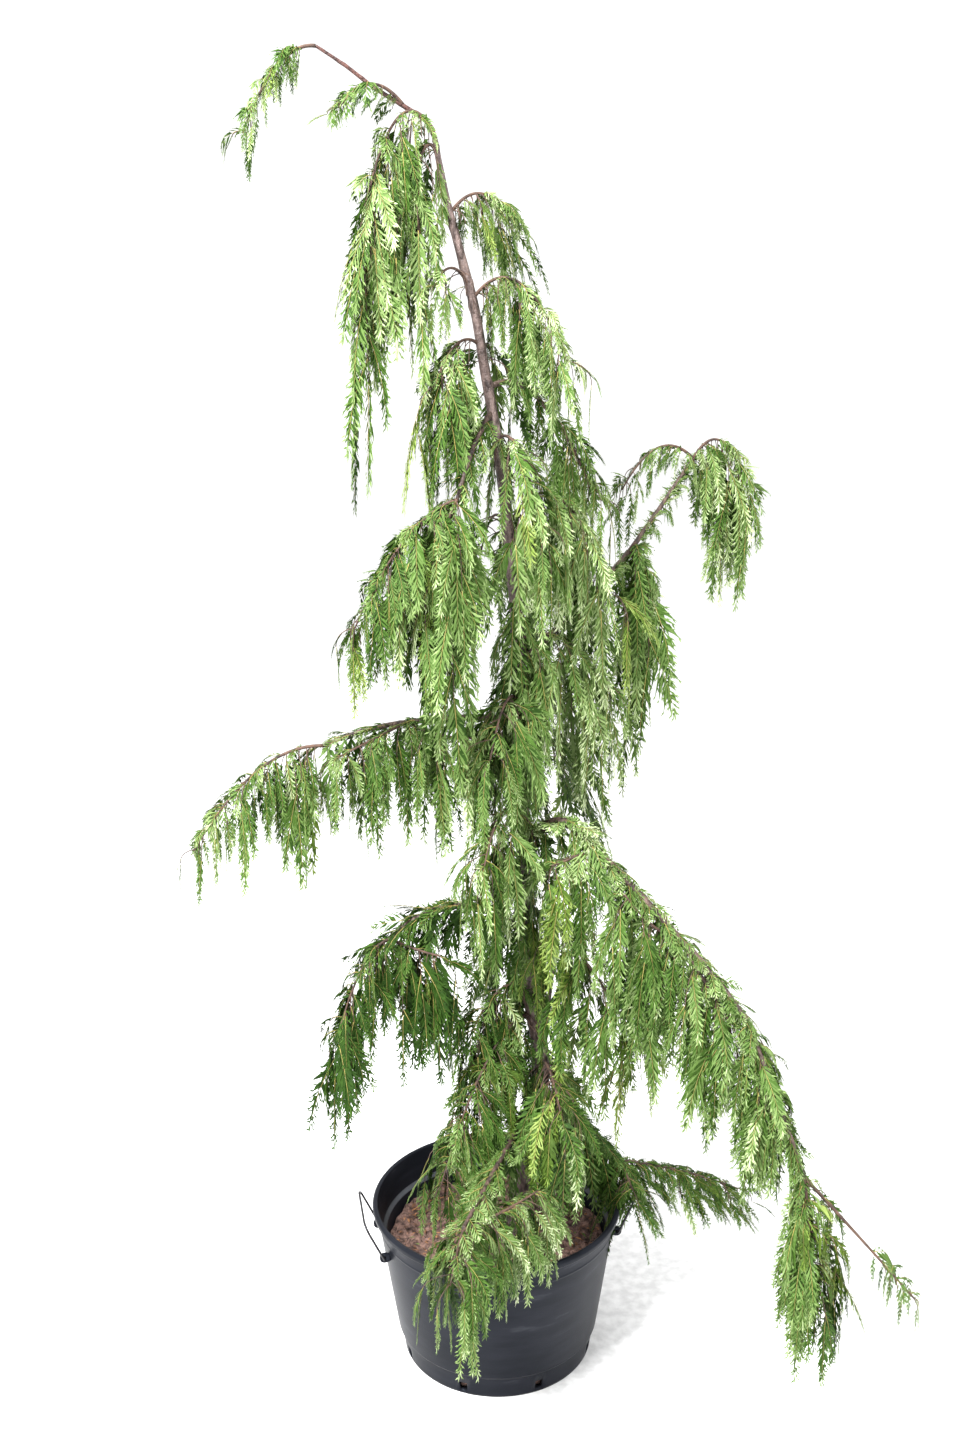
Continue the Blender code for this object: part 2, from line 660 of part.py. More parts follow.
def resample(curve, count):
    """Points at even distances along a dense curve."""
    steps = np.r_[0.0, np.cumsum(np.linalg.norm(np.diff(curve, axis=0), axis=1))]
    places = np.linspace(0.0, steps[-1], count)
    return np.stack([np.interp(places, steps, curve[:, axis]) for axis in range(3)], axis=1)


def end_gap(points, radii, sides, trees):
    """How far a tube's first end is from the trees: its corners, mid-edges and middle."""
    ring = np.array(tube(points, radii, sides)[0][:sides])
    spots = np.vstack([ring, 0.5 * (ring + np.roll(ring, 1, axis=0)), points[:1]])
    gaps = []
    for spot in spots:
        for tree in trees:
            near, normal, _, distance = tree.find_nearest(Vector(spot))
            inside = (Vector(spot) - near).dot(normal) < 0
            gaps.append(-distance if inside else distance)
    return min(gaps)


def seated(points, radii, sides, carrier, others=()):
    """Slides a limb's first point along the limb until its end is GAP from its carrier.

    The last steps go outwards, until the limb touches neither its carrier nor the others.
    """
    points = points.copy()
    way = unit(points[1] - points[0])
    for _ in range(SEAT_TURNS):
        gap = end_gap(points, radii, sides, [carrier])
        if abs(gap - GAP) < GAP_SLACK:
            break
        points[0] += way * (GAP - gap)
    while touches(tube(points, radii, sides), [carrier, *others]):
        points[0] += way * SEAT_STEP
    return points


def make_bough(bough, tips, trunk_path, limbs):
    start = on_trunk(trunk_path, bough.height) if bough.on == "trunk" else tips[bough.on]
    dense = slid_clear(arch(start, bough, DENSE), bough.thick, BOUGH_SIDES, limbs[bough.on])
    radii = np.linspace(bough.thick, bough.tip, BOUGH_RINGS)
    points = seated(resample(dense, BOUGH_RINGS), radii, BOUGH_SIDES, limbs[bough.on])
    verts, faces = tube(points, radii, BOUGH_SIDES)
    tips[bough.name] = points[-1]
    limbs[bough.name] = tree_of(verts, faces)
    return add_object(bough.name, verts, faces, bark(), LIMB_SMOOTH)


def blade(root, along, across, length, width, grow=0.0):
    """A flat spray: a closed toothed blade, thickest near its root.

    `grow` makes its envelope instead, a thicker blade that much larger all round.
    """
    normal = np.cross(along, across)
    half = 0.5 * width

    def place(t, side, lift):
        sag = np.array([0.0, 0.0, -SPRAY_SAG * (length * t * t + abs(side))])
        return root + along * length * t + across * side + normal * lift + sag

    if grow > 0.0:
        outline = [(-grow / length, SPRAY_ROOT + grow)]
        outline += [(t, part * half + grow) for t, part in SPRAY_CASE]
        outline.append((1.0 + grow / length, grow))
        ring = [(t, side) for t, side in outline] + [(t, -side) for t, side in reversed(outline)]
        verts = []
        for face in (1, -1):
            verts += [place(t, side, face * (SPRAY_THICK * min(1.0, SPRAY_CASE_TAPER - t) + grow)) for t, side in ring]
        count = len(ring)
        faces = [tuple(range(count)), tuple(reversed(range(count, 2 * count)))]
        faces += [(i, count + i, count + (i + 1) % count, (i + 1) % count) for i in range(count)]
        return verts, faces

    edge = [(0.0, SPRAY_ROOT)] + [(t, part * half) for t, part in SPRAY_TEETH]
    ring = edge + [(1.0, 0.0)] + [(t, -side) for t, side in reversed(edge)]
    verts = [place(t, side, 0.0) for t, side in ring]
    verts += [place(SPRAY_RIB, 0.0, face * SPRAY_THICK) for face in (1, -1)]
    count = len(ring)
    faces = [((i + 1) % count, i, count) for i in range(count)]
    faces += [(i, (i + 1) % count, count + 1) for i in range(count)]
    return verts, faces


def unit(vector):
    return vector / np.linalg.norm(vector)


def shoot_curve(base, out, spread, drop, count):
    """A hanging shoot: it swings out quickly, then falls ever more steeply."""
    u = np.linspace(0.0, 1.0, count)[:, None]
    return base + out * spread * (2 * u - u * u) + DOWN * drop * (0.35 * u + 0.65 * u * u)


def seat_stem(mass, start, limbs, others):
    """The middle line and radii of a mass's stem, its end just clear of the limb it grows from."""
    radii = np.linspace(STEM_RADIUS, STEM_TIP_RADIUS, STEM_POINTS)
    dense = arch(start, mass, DENSE)
    if mass.on != "trunk":
        return shifted_clear(resample(dense, STEM_POINTS), radii, [*limbs.values(), *others]), radii
    dense = slid_clear(dense, STEM_RADIUS, STEM_SIDES, limbs["trunk"])
    stem = resample(dense, STEM_POINTS)
    return seated(stem, radii, STEM_SIDES, limbs["trunk"], [*limbs.values(), *others]), radii


def shifted_clear(stem, radii, obstacles):
    """Shifts a stem to the nearest place round its bough's tip that is just clear."""
    steps = (-1.0, 0.0, 1.0)
    ways = [unit(np.array([x, y, z])) for z in steps for y in steps for x in steps if x or y or z]
    for step in range(SEAT_STEPS):
        for way in ways:
            shift = way * SEAT_STEP * step
            if not touches(tube(stem + shift, radii + GAP, STEM_SIDES), obstacles):
                return stem + shift
    raise ValueError("a stem finds no seat at its bough's tip")


def hang_shoot(base, out, swing, fall, obstacles):
    """A hanging shoot's middle line, swung out less until it hangs clear, or None."""
    for part in SHOOT_TRIES:
        curve = shoot_curve(base, out, swing * part, fall, SHOOT_POINTS)
        radii = np.linspace(SHOOT_RADIUS, SHOOT_TIP_RADIUS, len(curve))
        if not touches(tube(curve, radii + CLEAR, STEM_SIDES), obstacles):
            return curve
    return None


def hang_spray(root, tangent, out, lean, size, rng, obstacles):
    """A spray at a root, turned otherwise and then made smaller until it hangs clear, or None."""
    cross = unit(np.cross(tangent, out))
    for part in SPRAY_TRIES:
        along = unit(tangent + cross * lean * rng.uniform(*SPRAY_LEAN) + out * abs(lean) * SPRAY_LEAN[0])
        spin = rng.uniform(-SPRAY_SPIN, SPRAY_SPIN)
        flat = unit(np.cross(along, out * math.cos(spin) + cross * math.sin(spin)))
        reach = size * part * rng.uniform(*SPRAY_VARY)
        width = SPRAY_WIDTH * reach
        if not touches(blade(root, along, flat, reach, width, CLEAR), obstacles):
            return blade(root, along, flat, reach, width)
    return None


def grow_mass(mass, stem, stem_radii, obstacles):
    """Hanging shoots and toothed sprays of one mass on its stem, by a seeded rule.

    A shoot or spray that would touch a limb, the pot or another mass is left out.
    """
    rng = np.random.default_rng(SEED + sum(ord(letter) for letter in mass.name))
    pieces = [tube(stem, stem_radii, STEM_SIDES)]
    length = np.linalg.norm(np.diff(stem, axis=0), axis=1).sum()
    count = int(np.clip(round(length / SHOOT_SPACING), SHOOTS_LEAST, SHOOTS_MOST))
    forward = heading_vector(mass.heading)
    sideways = np.array([-forward[1], forward[0], 0.0])
    for index in range(count + 1):
        s = min(1.0, (index + SHOOT_START) / count)
        turn = 1 if index % 2 else -1
        drop = np.interp(s, (0.0, 0.5, 1.0), mass.drops) * rng.uniform(*SHOOT_VARY)
        out = forward if index == count else unit(sideways * turn + forward * rng.uniform(*SHOOT_FORWARD))
        place = s * (len(stem) - 1)
        low = min(int(place), len(stem) - 2)
        base = stem[low] + (stem[low + 1] - stem[low]) * (place - low)
        size = float(np.clip(SPRAY_PART[0] * drop + SPRAY_PART[1], SPRAY_SHORTEST, SPRAY_LENGTH))
        fall = drop - SPRAY_HANG * size
        swing = mass.spread * rng.uniform(*SHOOT_SWING)
        roots = [(base, unit(out * swing + DOWN * 0.6 * drop), 0)]
        if fall > SHOOT_SHORTEST:
            curve = hang_shoot(base, out, swing, fall, obstacles)
            if curve is not None:
                pieces.append(tube(curve, np.linspace(SHOOT_RADIUS, SHOOT_TIP_RADIUS, len(curve)), STEM_SIDES))
                end = unit(curve[-1] - curve[-2])
                roots = [(curve[-1] - end * SPRAY_SINK, end, 0), (curve[1], end, turn)]
                if fall > LONG_SHOOT:
                    roots.append((curve[0], end, -turn))
        for root, tangent, lean in roots:
            spray = hang_spray(root, tangent, out, lean, size, rng, obstacles)
            if spray is not None:
                pieces.append(spray)
    return fused(mass.name, pieces, foliage(), solver="MANIFOLD")


def finger_rooms():
    """The room for fingers inside each handle's loop, which foliage keeps out of."""
    low, high = (np.array(corner) for corner in FINGER_ROOM)
    axes = np.eye(3)
    half_turn = np.array([-1.0, -1.0, 1.0])
    centre = 0.5 * (low + high)
    size = 0.5 * (high - low) + CLEAR
    return [tree_of(*box(middle, *axes, size)) for middle in (centre, centre * half_turn)]


def tree_of_object(obj):
    mesh = obj.data
    return BVHTree.FromPolygons([tuple(v.co) for v in mesh.vertices], [tuple(p.vertices) for p in mesh.polygons])


def main():
    clear_scene()
    pot = make_pot()
    soil = make_soil()
    handles = [tree_of_object(make_handle(name)) for name in HANDLE_HEADINGS]
    trunk, trunk_path = make_trunk()
    limbs = {"trunk": tree_of_object(trunk)}
    tips = {"tip": trunk_path[-1]}
    for bough in BOUGHS:
        make_bough(bough, tips, trunk_path, limbs)
    solid = [*limbs.values(), tree_of_object(pot), tree_of_object(soil), *handles, *finger_rooms()]
    stems = {}
    grown = {}
    for mass in MASSES:
        start = on_trunk(trunk_path, mass.height) if mass.on == "trunk" else tips[mass.on]
        stem, radii = seat_stem(mass, start, limbs, list(grown.values()))
        stems[mass.name] = (stem, radii)
        grown[mass.name] = tree_of(*tube(stem, radii, STEM_SIDES))
    for mass in MASSES:
        grown.pop(mass.name)
        obj = grow_mass(mass, *stems[mass.name], solid + list(grown.values()))
        grown[mass.name] = tree_of_object(obj)


main()
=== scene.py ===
"""Looks of a weeping nootka cypress in a round black nursery pot.

The limbs and the masses of foliage follow the same named sizes and the same rule as the
solids: a stem arches away from its carrier, shoots hang from it, and sprays hang from the
shoots. Here every spray is a pinnate frond of narrow scale-leaf cords.
"""

import math
from collections import namedtuple

import bpy
import numpy as np
from mathutils import Matrix


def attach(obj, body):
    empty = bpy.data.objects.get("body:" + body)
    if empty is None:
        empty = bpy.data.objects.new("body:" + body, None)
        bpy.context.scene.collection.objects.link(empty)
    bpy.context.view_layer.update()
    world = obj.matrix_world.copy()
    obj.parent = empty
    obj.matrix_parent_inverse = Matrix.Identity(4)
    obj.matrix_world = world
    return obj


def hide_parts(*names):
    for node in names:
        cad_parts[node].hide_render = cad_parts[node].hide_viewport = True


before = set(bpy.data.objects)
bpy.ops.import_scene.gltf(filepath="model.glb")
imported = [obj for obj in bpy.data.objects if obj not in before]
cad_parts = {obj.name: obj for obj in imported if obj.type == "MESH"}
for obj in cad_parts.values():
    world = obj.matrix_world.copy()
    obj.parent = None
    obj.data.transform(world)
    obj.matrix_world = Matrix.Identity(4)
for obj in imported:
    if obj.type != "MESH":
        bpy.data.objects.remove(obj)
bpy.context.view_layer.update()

SEED = 23

# Pot, handles and soil
RIM_RADIUS = 0.225
POT_HEIGHT = 0.286
BASE_RADIUS = 0.176
FOOT_HEIGHT = 0.040
FOOT_INSET = 0.004
WALL = 0.0035
FLOOR = 0.004
LIP_OUT = 0.006
LIP_DEPTH = 0.014
BEAD_DROP = 0.040
BEAD_OUT = 0.0009
LEDGE_HEIGHT = 0.226
LEDGE_IN = 0.006
SLOT_COUNT = 8
SLOT_WIDTH = 0.014
SLOT_HEIGHT = 0.020
SLOT_TURN = 24.0
HANDLE_HEADINGS = {"handle_left": 190.0, "handle_right": 10.0}
LUG_HALF_ANGLE = 14.0
LUG_HEIGHT = 0.222
LUG_STAND = 0.0095
LUG_LENGTH = 0.007
LUG_OUTER = 0.0080
LUG_HOLE = 0.0026
LUG_ROOT = 1.7
LUG_SIDES = 24
POT_SIDES = 144
SLOT_COLUMNS = 2
WIRE_RADIUS = 0.0020
HANDLE_LENGTH = 0.078
HANDLE_CORNER = 0.020
HANDLE_LEAN = 25.0
SOIL_TOP = 0.212
LITTER = 1100
LITTER_LENGTH = (0.0025, 0.0085)
LITTER_SHARES = (0.40, 0.30, 0.22, 0.08)
FALLEN_TWIG = [(-0.158, 0.066, 0.214), (-0.135, 0.082, 0.219), (-0.112, 0.100, 0.217), (-0.086, 0.112, 0.216)]
FALLEN_TWIG_RADII = (0.0013, 0.0007)

# Trunk: its middle and radius from the soil to the drooping tip of the leader
TRUNK = [
    ((0.035, 0.000, 0.2123), 0.0260),
    ((0.041, 0.000, 0.250), 0.0200),
    ((0.054, 0.000, 0.340), 0.0182),
    ((0.075, 0.000, 0.475), 0.0170),
    ((0.079, 0.000, 0.575), 0.0160),
    ((0.066, 0.000, 0.660), 0.0140),
    ((0.057, 0.000, 0.765), 0.0130),
    ((0.052, 0.000, 0.895), 0.0122),
    ((0.047, 0.000, 1.040), 0.0115),
    ((0.044, 0.000, 1.180), 0.0108),
    ((0.042, 0.000, 1.315), 0.0102),
    ((0.034, 0.000, 1.435), 0.0097),
    ((0.023, 0.000, 1.540), 0.0092),
    ((0.011, 0.000, 1.635), 0.0088),
    ((-0.006, 0.000, 1.735), 0.0082),
    ((-0.023, 0.000, 1.840), 0.0074),
    ((-0.045, 0.000, 1.925), 0.0068),
    ((-0.062, 0.000, 1.990), 0.0060),
    ((-0.074, 0.000, 2.050), 0.0048),
    ((-0.080, -0.001, 2.085), 0.0040),
    ((-0.092, -0.004, 2.108), 0.0036),
    ((-0.120, -0.010, 2.126), 0.0033),
    ((-0.167, -0.022, 2.152), 0.0030),
    ((-0.210, -0.032, 2.182), 0.0027),
    ((-0.251, -0.040, 2.207), 0.0022),
]
# A thin stem that stands before the trunk and joins it again higher up
THIN_STEM = [
    (0.077, -0.010, 0.470), (0.088, -0.030, 0.530), (0.086, -0.034, 0.620), (0.095, -0.034, 0.700),
    (0.102, -0.032, 0.780), (0.098, -0.028, 0.840), (0.085, -0.020, 0.900), (0.056, -0.006, 0.935),
]
THIN_STEM_RADII = (0.0042, 0.0028)
YOUNG_FROM = 2.082
FLARE_RIDGES = 4
FLARE_DEPTH = 0.14
FLARE_TOP = 0.270

Bough = namedtuple("Bough", "name on height heading reach climb droop thick tip")
BOUGHS = [
    Bough("right_upper_bough", "trunk", 1.716, 21, 0.110, 0.065, 0.110, 0.0046, 0.0030),
    Bough("left_upper_bough", "trunk", 1.681, 241, 0.115, -0.070, 0.060, 0.0046, 0.0030),
    Bough("raised_bough_low", "trunk", 1.272, 32, 0.230, 0.140, -0.030, 0.0062, 0.0048),
    Bough("raised_bough_high", "raised_bough_low", None, 34, 0.140, 0.145, -0.005, 0.0046, 0.0032),
    Bough("left_long_bough_in", "trunk", 1.177, 189, 0.190, 0.030, 0.025, 0.0058, 0.0046),
    Bough("left_long_bough_out", "left_long_bough_in", None, 193, 0.135, -0.005, 0.025, 0.0044, 0.0032),
    Bough("right_long_bough_1", "trunk", 0.951, 318, 0.150, 0.220, 0.185, 0.0085, 0.0072),
    Bough("right_long_bough_2", "right_long_bough_1", None, 326, 0.160, -0.110, 0.015, 0.0070, 0.0056),
    Bough("right_long_bough_3", "right_long_bough_2", None, 316, 0.130, -0.070, 0.030, 0.0054, 0.0044),
    Bough("right_long_bough_4", "right_long_bough_3", None, 306, 0.125, -0.185, 0.020, 0.0042, 0.0032),
    Bough("left_low_bough", "trunk", 0.791, 195, 0.240, 0.255, 0.232, 0.0062, 0.0042),
    Bough("right_low_bough", "trunk", 0.506, 12, 0.150, -0.145, 0.025, 0.0064, 0.0046),
    Bough("front_bough", "trunk", 0.487, 247, 0.340, -0.040, 0.021, 0.0052, 0.0030),
]

Mass = namedtuple("Mass", "name on height heading reach climb droop drops spread")
MASSES = [
    Mass("leader_tassel", "tip", None, 186, 0.112, 0.015, 0.135, (0.02, 0.050, 0.090), 0.022),
    Mass("leader_tuft", "trunk", 2.129, 208, 0.105, 0.115, 0.125, (0.035, 0.045, 0.070), 0.030),
    Mass("crown_outer", "trunk", 2.103, 200, 0.112, 0.150, 0.300, (0.165, 0.26, 0.42), 0.038),
    Mass("crown_inner", "trunk", 2.060, 225, 0.056, 0.100, 0.170, (0.20, 0.28, 0.33), 0.036),
    Mass("front_high", "trunk", 1.868, 226, 0.078, 0.110, 0.110, (0.09, 0.13, 0.12), 0.030),
    Mass("right_top", "trunk", 1.977, 15, 0.102, 0.135, 0.150, (0.07, 0.15, 0.15), 0.030),
    Mass("right_high", "trunk", 1.851, 346, 0.150, 0.190, 0.290, (0.09, 0.19, 0.17), 0.045),
    Mass("left_high", "trunk", 1.779, 214, 0.088, 0.080, 0.140, (0.08, 0.24, 0.25), 0.036),
    Mass("right_upper", "right_upper_bough", None, 18, 0.074, -0.070, 0.065,
         (0.20, 0.18, 0.13), 0.050),
    Mass("left_upper_outer", "left_upper_bough", None, 187, 0.165, -0.045, 0.155,
         (0.24, 0.21, 0.13), 0.045),
    Mass("left_upper_inner", "left_upper_bough", None, 222, 0.045, -0.060, 0.030,
         (0.31, 0.35, 0.36), 0.070),
    Mass("right_mid", "trunk", 1.636, 316, 0.100, 0.080, 0.235, (0.21, 0.24, 0.26), 0.050),
    Mass("right_mid_outer", "trunk", 1.499, 13, 0.170, 0.290, 0.405, (0.18, 0.27, 0.23), 0.045),
    Mass("right_mid_low", "trunk", 1.313, 29, 0.175, 0.070, 0.170, (0.22, 0.26, 0.25), 0.055),
    Mass("raised_left", "raised_bough_high", None, 194, 0.130, 0.130, 0.180,
         (0.045, 0.075, 0.12), 0.030),
    Mass("raised_tip", "raised_bough_high", None, 360, 0.098, 0.175, 0.235,
         (0.11, 0.27, 0.20), 0.026),
    Mass("raised_curtain", "raised_bough_low", None, 10, 0.032, 0.090, 0.160,
         (0.36, 0.34, 0.28), 0.028),
    Mass("left_long_inner", "left_long_bough_in", None, 345, 0.120, -0.050, -0.030,
         (0.22, 0.25, 0.20), 0.040),
    Mass("left_long_middle", "left_long_bough_in", None, 205, 0.120, -0.045, 0.000,
         (0.20, 0.18, 0.16), 0.040),
    Mass("left_long_outer", "left_long_bough_out", None, 190, 0.218, 0.022, 0.187,
         (0.23, 0.18, 0.090), 0.040),
    Mass("centre_upper", "trunk", 1.211, 248, 0.130, 0.095, 0.165, (0.21, 0.23, 0.21), 0.050),
    Mass("centre_lower", "trunk", 0.995, 245, 0.155, 0.210, 0.240, (0.235, 0.235, 0.205), 0.050),
    Mass("right_long_inner", "right_long_bough_1", None, 203, 0.075, -0.030, -0.010,
         (0.235, 0.22, 0.19), 0.050),
    Mass("right_long_middle", "right_long_bough_2", None, 167, 0.090, 0.015, -0.055,
         (0.27, 0.30, 0.27), 0.050),
    Mass("right_long_outer", "right_long_bough_2", None, 309, 0.105, -0.110, -0.010,
         (0.28, 0.26, 0.21), 0.045),
    Mass("right_long_drop", "right_long_bough_4", None, 285, 0.045, -0.120, 0.030,
         (0.17, 0.20, 0.17), 0.050),
    Mass("right_long_low", "right_long_bough_3", None, 318, 0.055, -0.100, 0.020,
         (0.23, 0.25, 0.22), 0.045),
    Mass("right_long_end", "right_long_bough_4", None, 340, 0.170, -0.165, 0.005,
         (0.035, 0.015, 0.02), 0.020),
    Mass("left_low_inner", "left_low_bough", None, 342, 0.090, -0.030, -0.010,
         (0.22, 0.25, 0.22), 0.040),
    Mass("left_low_outer", "left_low_bough", None, 202, 0.096, -0.005, 0.150,
         (0.14, 0.18, 0.22), 0.040),
    Mass("right_inner", "trunk", 0.855, 326, 0.205, -0.080, 0.105, (0.18, 0.27, 0.21), 0.060),
    Mass("left_inner_low", "trunk", 0.698, 210, 0.120, 0.090, 0.150, (0.13, 0.18, 0.205), 0.040),
    Mass("left_front", "trunk", 0.648, 223, 0.222, 0.035, 0.280, (0.11, 0.185, 0.150), 0.050),
    Mass("right_low", "right_low_bough", None, 6, 0.226, -0.040, 0.035, (0.11, 0.13, 0.12), 0.036),
    Mass("right_low_inner", "right_low_bough", None, 290, 0.060, -0.010, 0.015,
         (0.15, 0.16, 0.14), 0.040),
    Mass("front_upper", "trunk", 0.555, 279, 0.170, 0.100, 0.110, (0.19, 0.24, 0.25), 0.050),
    Mass("front_middle", "front_bough", None, 41, 0.165, -0.020, -0.020,
         (0.165, 0.175, 0.175), 0.045),
    Mass("front_lower", "front_bough", None, 235, 0.035, -0.065, 0.015, (0.12, 0.155, 0.14), 0.055),
    Mass("back_high", "trunk", 1.760, 80, 0.120, 0.140, 0.200, (0.16, 0.24, 0.26), 0.060),
    Mass("back_upper", "trunk", 1.480, 105, 0.200, 0.180, 0.260, (0.16, 0.26, 0.26), 0.070),
    Mass("back_middle", "trunk", 1.120, 70, 0.220, 0.180, 0.260, (0.16, 0.26, 0.26), 0.070),
    Mass("back_low", "trunk", 0.760, 100, 0.210, 0.170, 0.250, (0.14, 0.24, 0.24), 0.070),
]

# Zones: each becomes a few joined pieces of sprays and one of twigs
ZONES = {
    "crown": ["leader_tassel", "leader_tuft", "crown_outer", "crown_inner", "front_high",
              "right_top", "right_high", "left_high"],
    "upper": ["right_upper", "left_upper_inner", "left_upper_outer", "right_mid",
              "right_mid_outer", "right_mid_low"],
    "raised": ["raised_left", "raised_tip", "raised_curtain"],
    "left_long": ["left_long_inner", "left_long_middle", "left_long_outer"],
    "centre": ["centre_upper", "centre_lower", "right_inner"],
    "right_long": ["right_long_inner", "right_long_middle", "right_long_outer",
                   "right_long_low", "right_long_drop", "right_long_end"],
    "low": ["left_low_inner", "left_low_outer", "left_inner_low", "left_front", "right_low",
            "right_low_inner"],
    "front": ["front_upper", "front_middle", "front_lower"],
    "back": ["back_high", "back_upper", "back_middle", "back_low"],
}
ZONE_BOUGHS = {
    "upper": ["right_upper_bough", "left_upper_bough"],
    "raised": ["raised_bough_low", "raised_bough_high"],
    "left_long": ["left_long_bough_in", "left_long_bough_out"],
    "right_long": ["right_long_bough_1", "right_long_bough_2", "right_long_bough_3",
                   "right_long_bough_4"],
    "low": ["left_low_bough", "right_low_bough"],
    "front": ["front_bough"],
    "centre": ["trunk"],
}
# What hangs straight from the trunk: from and to which height, and how many sprays
TRUNK_SPRAYS = [(1.100, 1.400, 30), (0.540, 0.960, 34)]
TRUNK_SPRAY_LENGTH = (0.10, 0.17)
GOLDEN_ANGLE = 137.5
PIECE_LIMIT = 190000

# Plumes: the long narrow sprays that hang. Each measure is a part of the plume's own length
PLUME_SHAPES = [(12, 0.110), (12, 0.140), (11, 0.170), (11, 0.210)]
PLUME_KINDS = 12
OPENINGS = (1.0, 1.2, 1.45)
CURL_SPAN = 0.17
# Painted shade: a few wide dark kites deep behind each plume's axis, so its middle reads as shaded
PAINTED_SHADE_WEBS = 2
PAINTED_SHADE_WEB_LENGTH = 0.50
PAINTED_SHADE_WEB_PART = 0.22
PAINTED_SHADE_WEB_DEPTH = 0.014
FINGER_WIDTH = 1.45
FINGER_DEPTH = 0.003
# Painted shade: a wide dark kite behind every other pair of side shoots, so the gaps between the cords read as shade
PAINTED_SHADE_WIDTH = 3.7
PAINTED_SHADE_LENGTH = 0.88
PAINTED_SHADE_DEPTH = 0.012
PAINTED_SHADE_TONE = -0.42
SPRIG_KINDS = 4
SPRIG_PAIRS = 7
SPRIG_HALF_WIDTH = 0.27
SPRIG_CORD = 1.3
ANGLE_AT_ROOT = 26.0
ANGLE_AT_TIP = 14.0
CORD_STEP = 0.096
CORD_LENGTH = 0.090
CORD_WIDTH = 0.0175
CORD_THICK = 0.004
CORD_ANGLE = 21.0
KITE_MIDDLE = 0.38

# How they hang, in metres
PLUME_LENGTH = (0.125, 0.200)
SHOOT_GAP = 0.0088
PLUME_GAP = 0.036
SPRIG_LENGTH = (0.045, 0.085)
BOUGH_GAP = 0.015
TWIG_RADIUS = 0.0009
CLUMP_GAP = 0.050
CLUMP_PULL = 0.60
CLUMP_DEPTH = 0.22
FACE_OUT = 0.6
FACE_OUT_ON_BOUGH = 0.25
FACE_OUT_BY = {"right_mid_low": 0.1, "right_mid_outer": 0.25, "raised_curtain": 0.1}
MOSS_SHADES = 3
SPRIG_SHARE = 0.6
KNOT_STEP = 7
AXIS_RADII = (0.0050, 0.0040, 0.0030, 0.0022, 0.0014)
AXIS_DEPTH = 0.003
SPRIG_AXIS = 2.0
# How many shades lighter each spray grows from root to tip: partly its own lighter tips, partly painted highlight
TIP_RISE = 1.85
DOWN = np.array([0.0, 0.0, -1.0])
UP = np.array([0.0, 0.0, 1.0])

# What hangs straight from a bough: longest plume at its root and at its tip, in metres
CLOTHED = {
    "right_upper_bough": (0.05, 0.12),
    "left_upper_bough": (0.06, 0.14),
    "raised_bough_low": (0.05, 0.10),
    "raised_bough_high": (0.05, 0.07),
    "left_long_bough_in": (0.16, 0.16),
    "left_long_bough_out": (0.17, 0.17),
    "right_long_bough_1": (0.15, 0.18),
    "right_long_bough_2": (0.18, 0.18),
    "right_long_bough_3": (0.18, 0.16),
    "right_long_bough_4": (0.20, 0.18),
    "left_low_bough": (0.14, 0.16),
    "right_low_bough": (0.24, 0.15),
    "front_bough": (0.15, 0.15),
}

# How much lighter or darker than the rest a mass or bough's foliage is, in shades: partly its own tone, partly painted
# shade, darkest on the low masses under the crown, and painted light where the lamps leave a mass in shadow
TONE_AND_PAINTED_LIGHT = {
    "leader_tassel": -0.5, "leader_tuft": -0.5, "crown_outer": 0.35, "crown_inner": 0.35, "front_high": 0.5, "right_top": 0.3,
    "right_high": 0.3, "left_high": 0.0, "right_upper": 0.4, "left_long_outer": -0.2, "left_long_middle": -0.2,
    "left_long_inner": -0.2, "left_long_bough_in": -0.1, "left_long_bough_out": -0.1, "centre_upper": -0.2,
    "centre_lower": -0.2, "right_inner": -0.1, "right_mid": 0.3, "right_mid_outer": 0.9,
    "right_mid_low": 0.9, "left_upper_inner": -0.35, "left_upper_outer": -0.3, "front_upper": -0.2,
    "front_middle": -0.1, "front_lower": -0.1, "raised_tip": 0.3, "raised_curtain": 0.3, "left_low_inner": -1.9,
    "left_low_outer": -1.7, "left_low_bough": -1.3, "right_low": -1.0, "right_low_bough": -0.9,
    "right_low_inner": -0.7, "left_inner_low": -1.2, "left_front": -0.5, "right_long_outer": -0.2, "right_long_low": -0.2,
    "right_long_drop": -0.1, "right_long_middle": -0.1, "back_high": 0.1, "back_upper": 0.1,
    "back_middle": 0.0, "back_low": -0.1,
}

# How much closer than the rest a mass's shoots stand
THICK = {
    "front_upper": 2.0, "front_middle": 2.4, "front_lower": 1.9, "right_low": 2.2, "right_low_inner": 2.2,
    "right_long_drop": 2.4, "right_long_low": 1.3, "left_inner_low": 1.7, "left_front": 2.0,
    "left_low_inner": 1.5, "left_low_outer": 1.5,
    "crown_outer": 0.95, "crown_inner": 0.95, "right_top": 2.1, "leader_tassel": 1.5, "left_long_inner": 1.2, "left_long_middle": 1.1,
    "left_upper_inner": 1.45, "left_upper_outer": 1.3, "raised_left": 1.1, "raised_tip": 1.4, "left_long_outer": 1.2, "right_low_bough": 2.4, "right_mid": 1.1, "right_inner": 0.85, "back_low": 0.60, "back_middle": 0.58, "back_upper": 0.58, "back_high": 0.45,
    "centre_lower": 1.0, "right_high": 1.3, "left_high": 1.6, "right_mid_outer": 0.9, "right_mid_low": 0.85,
}

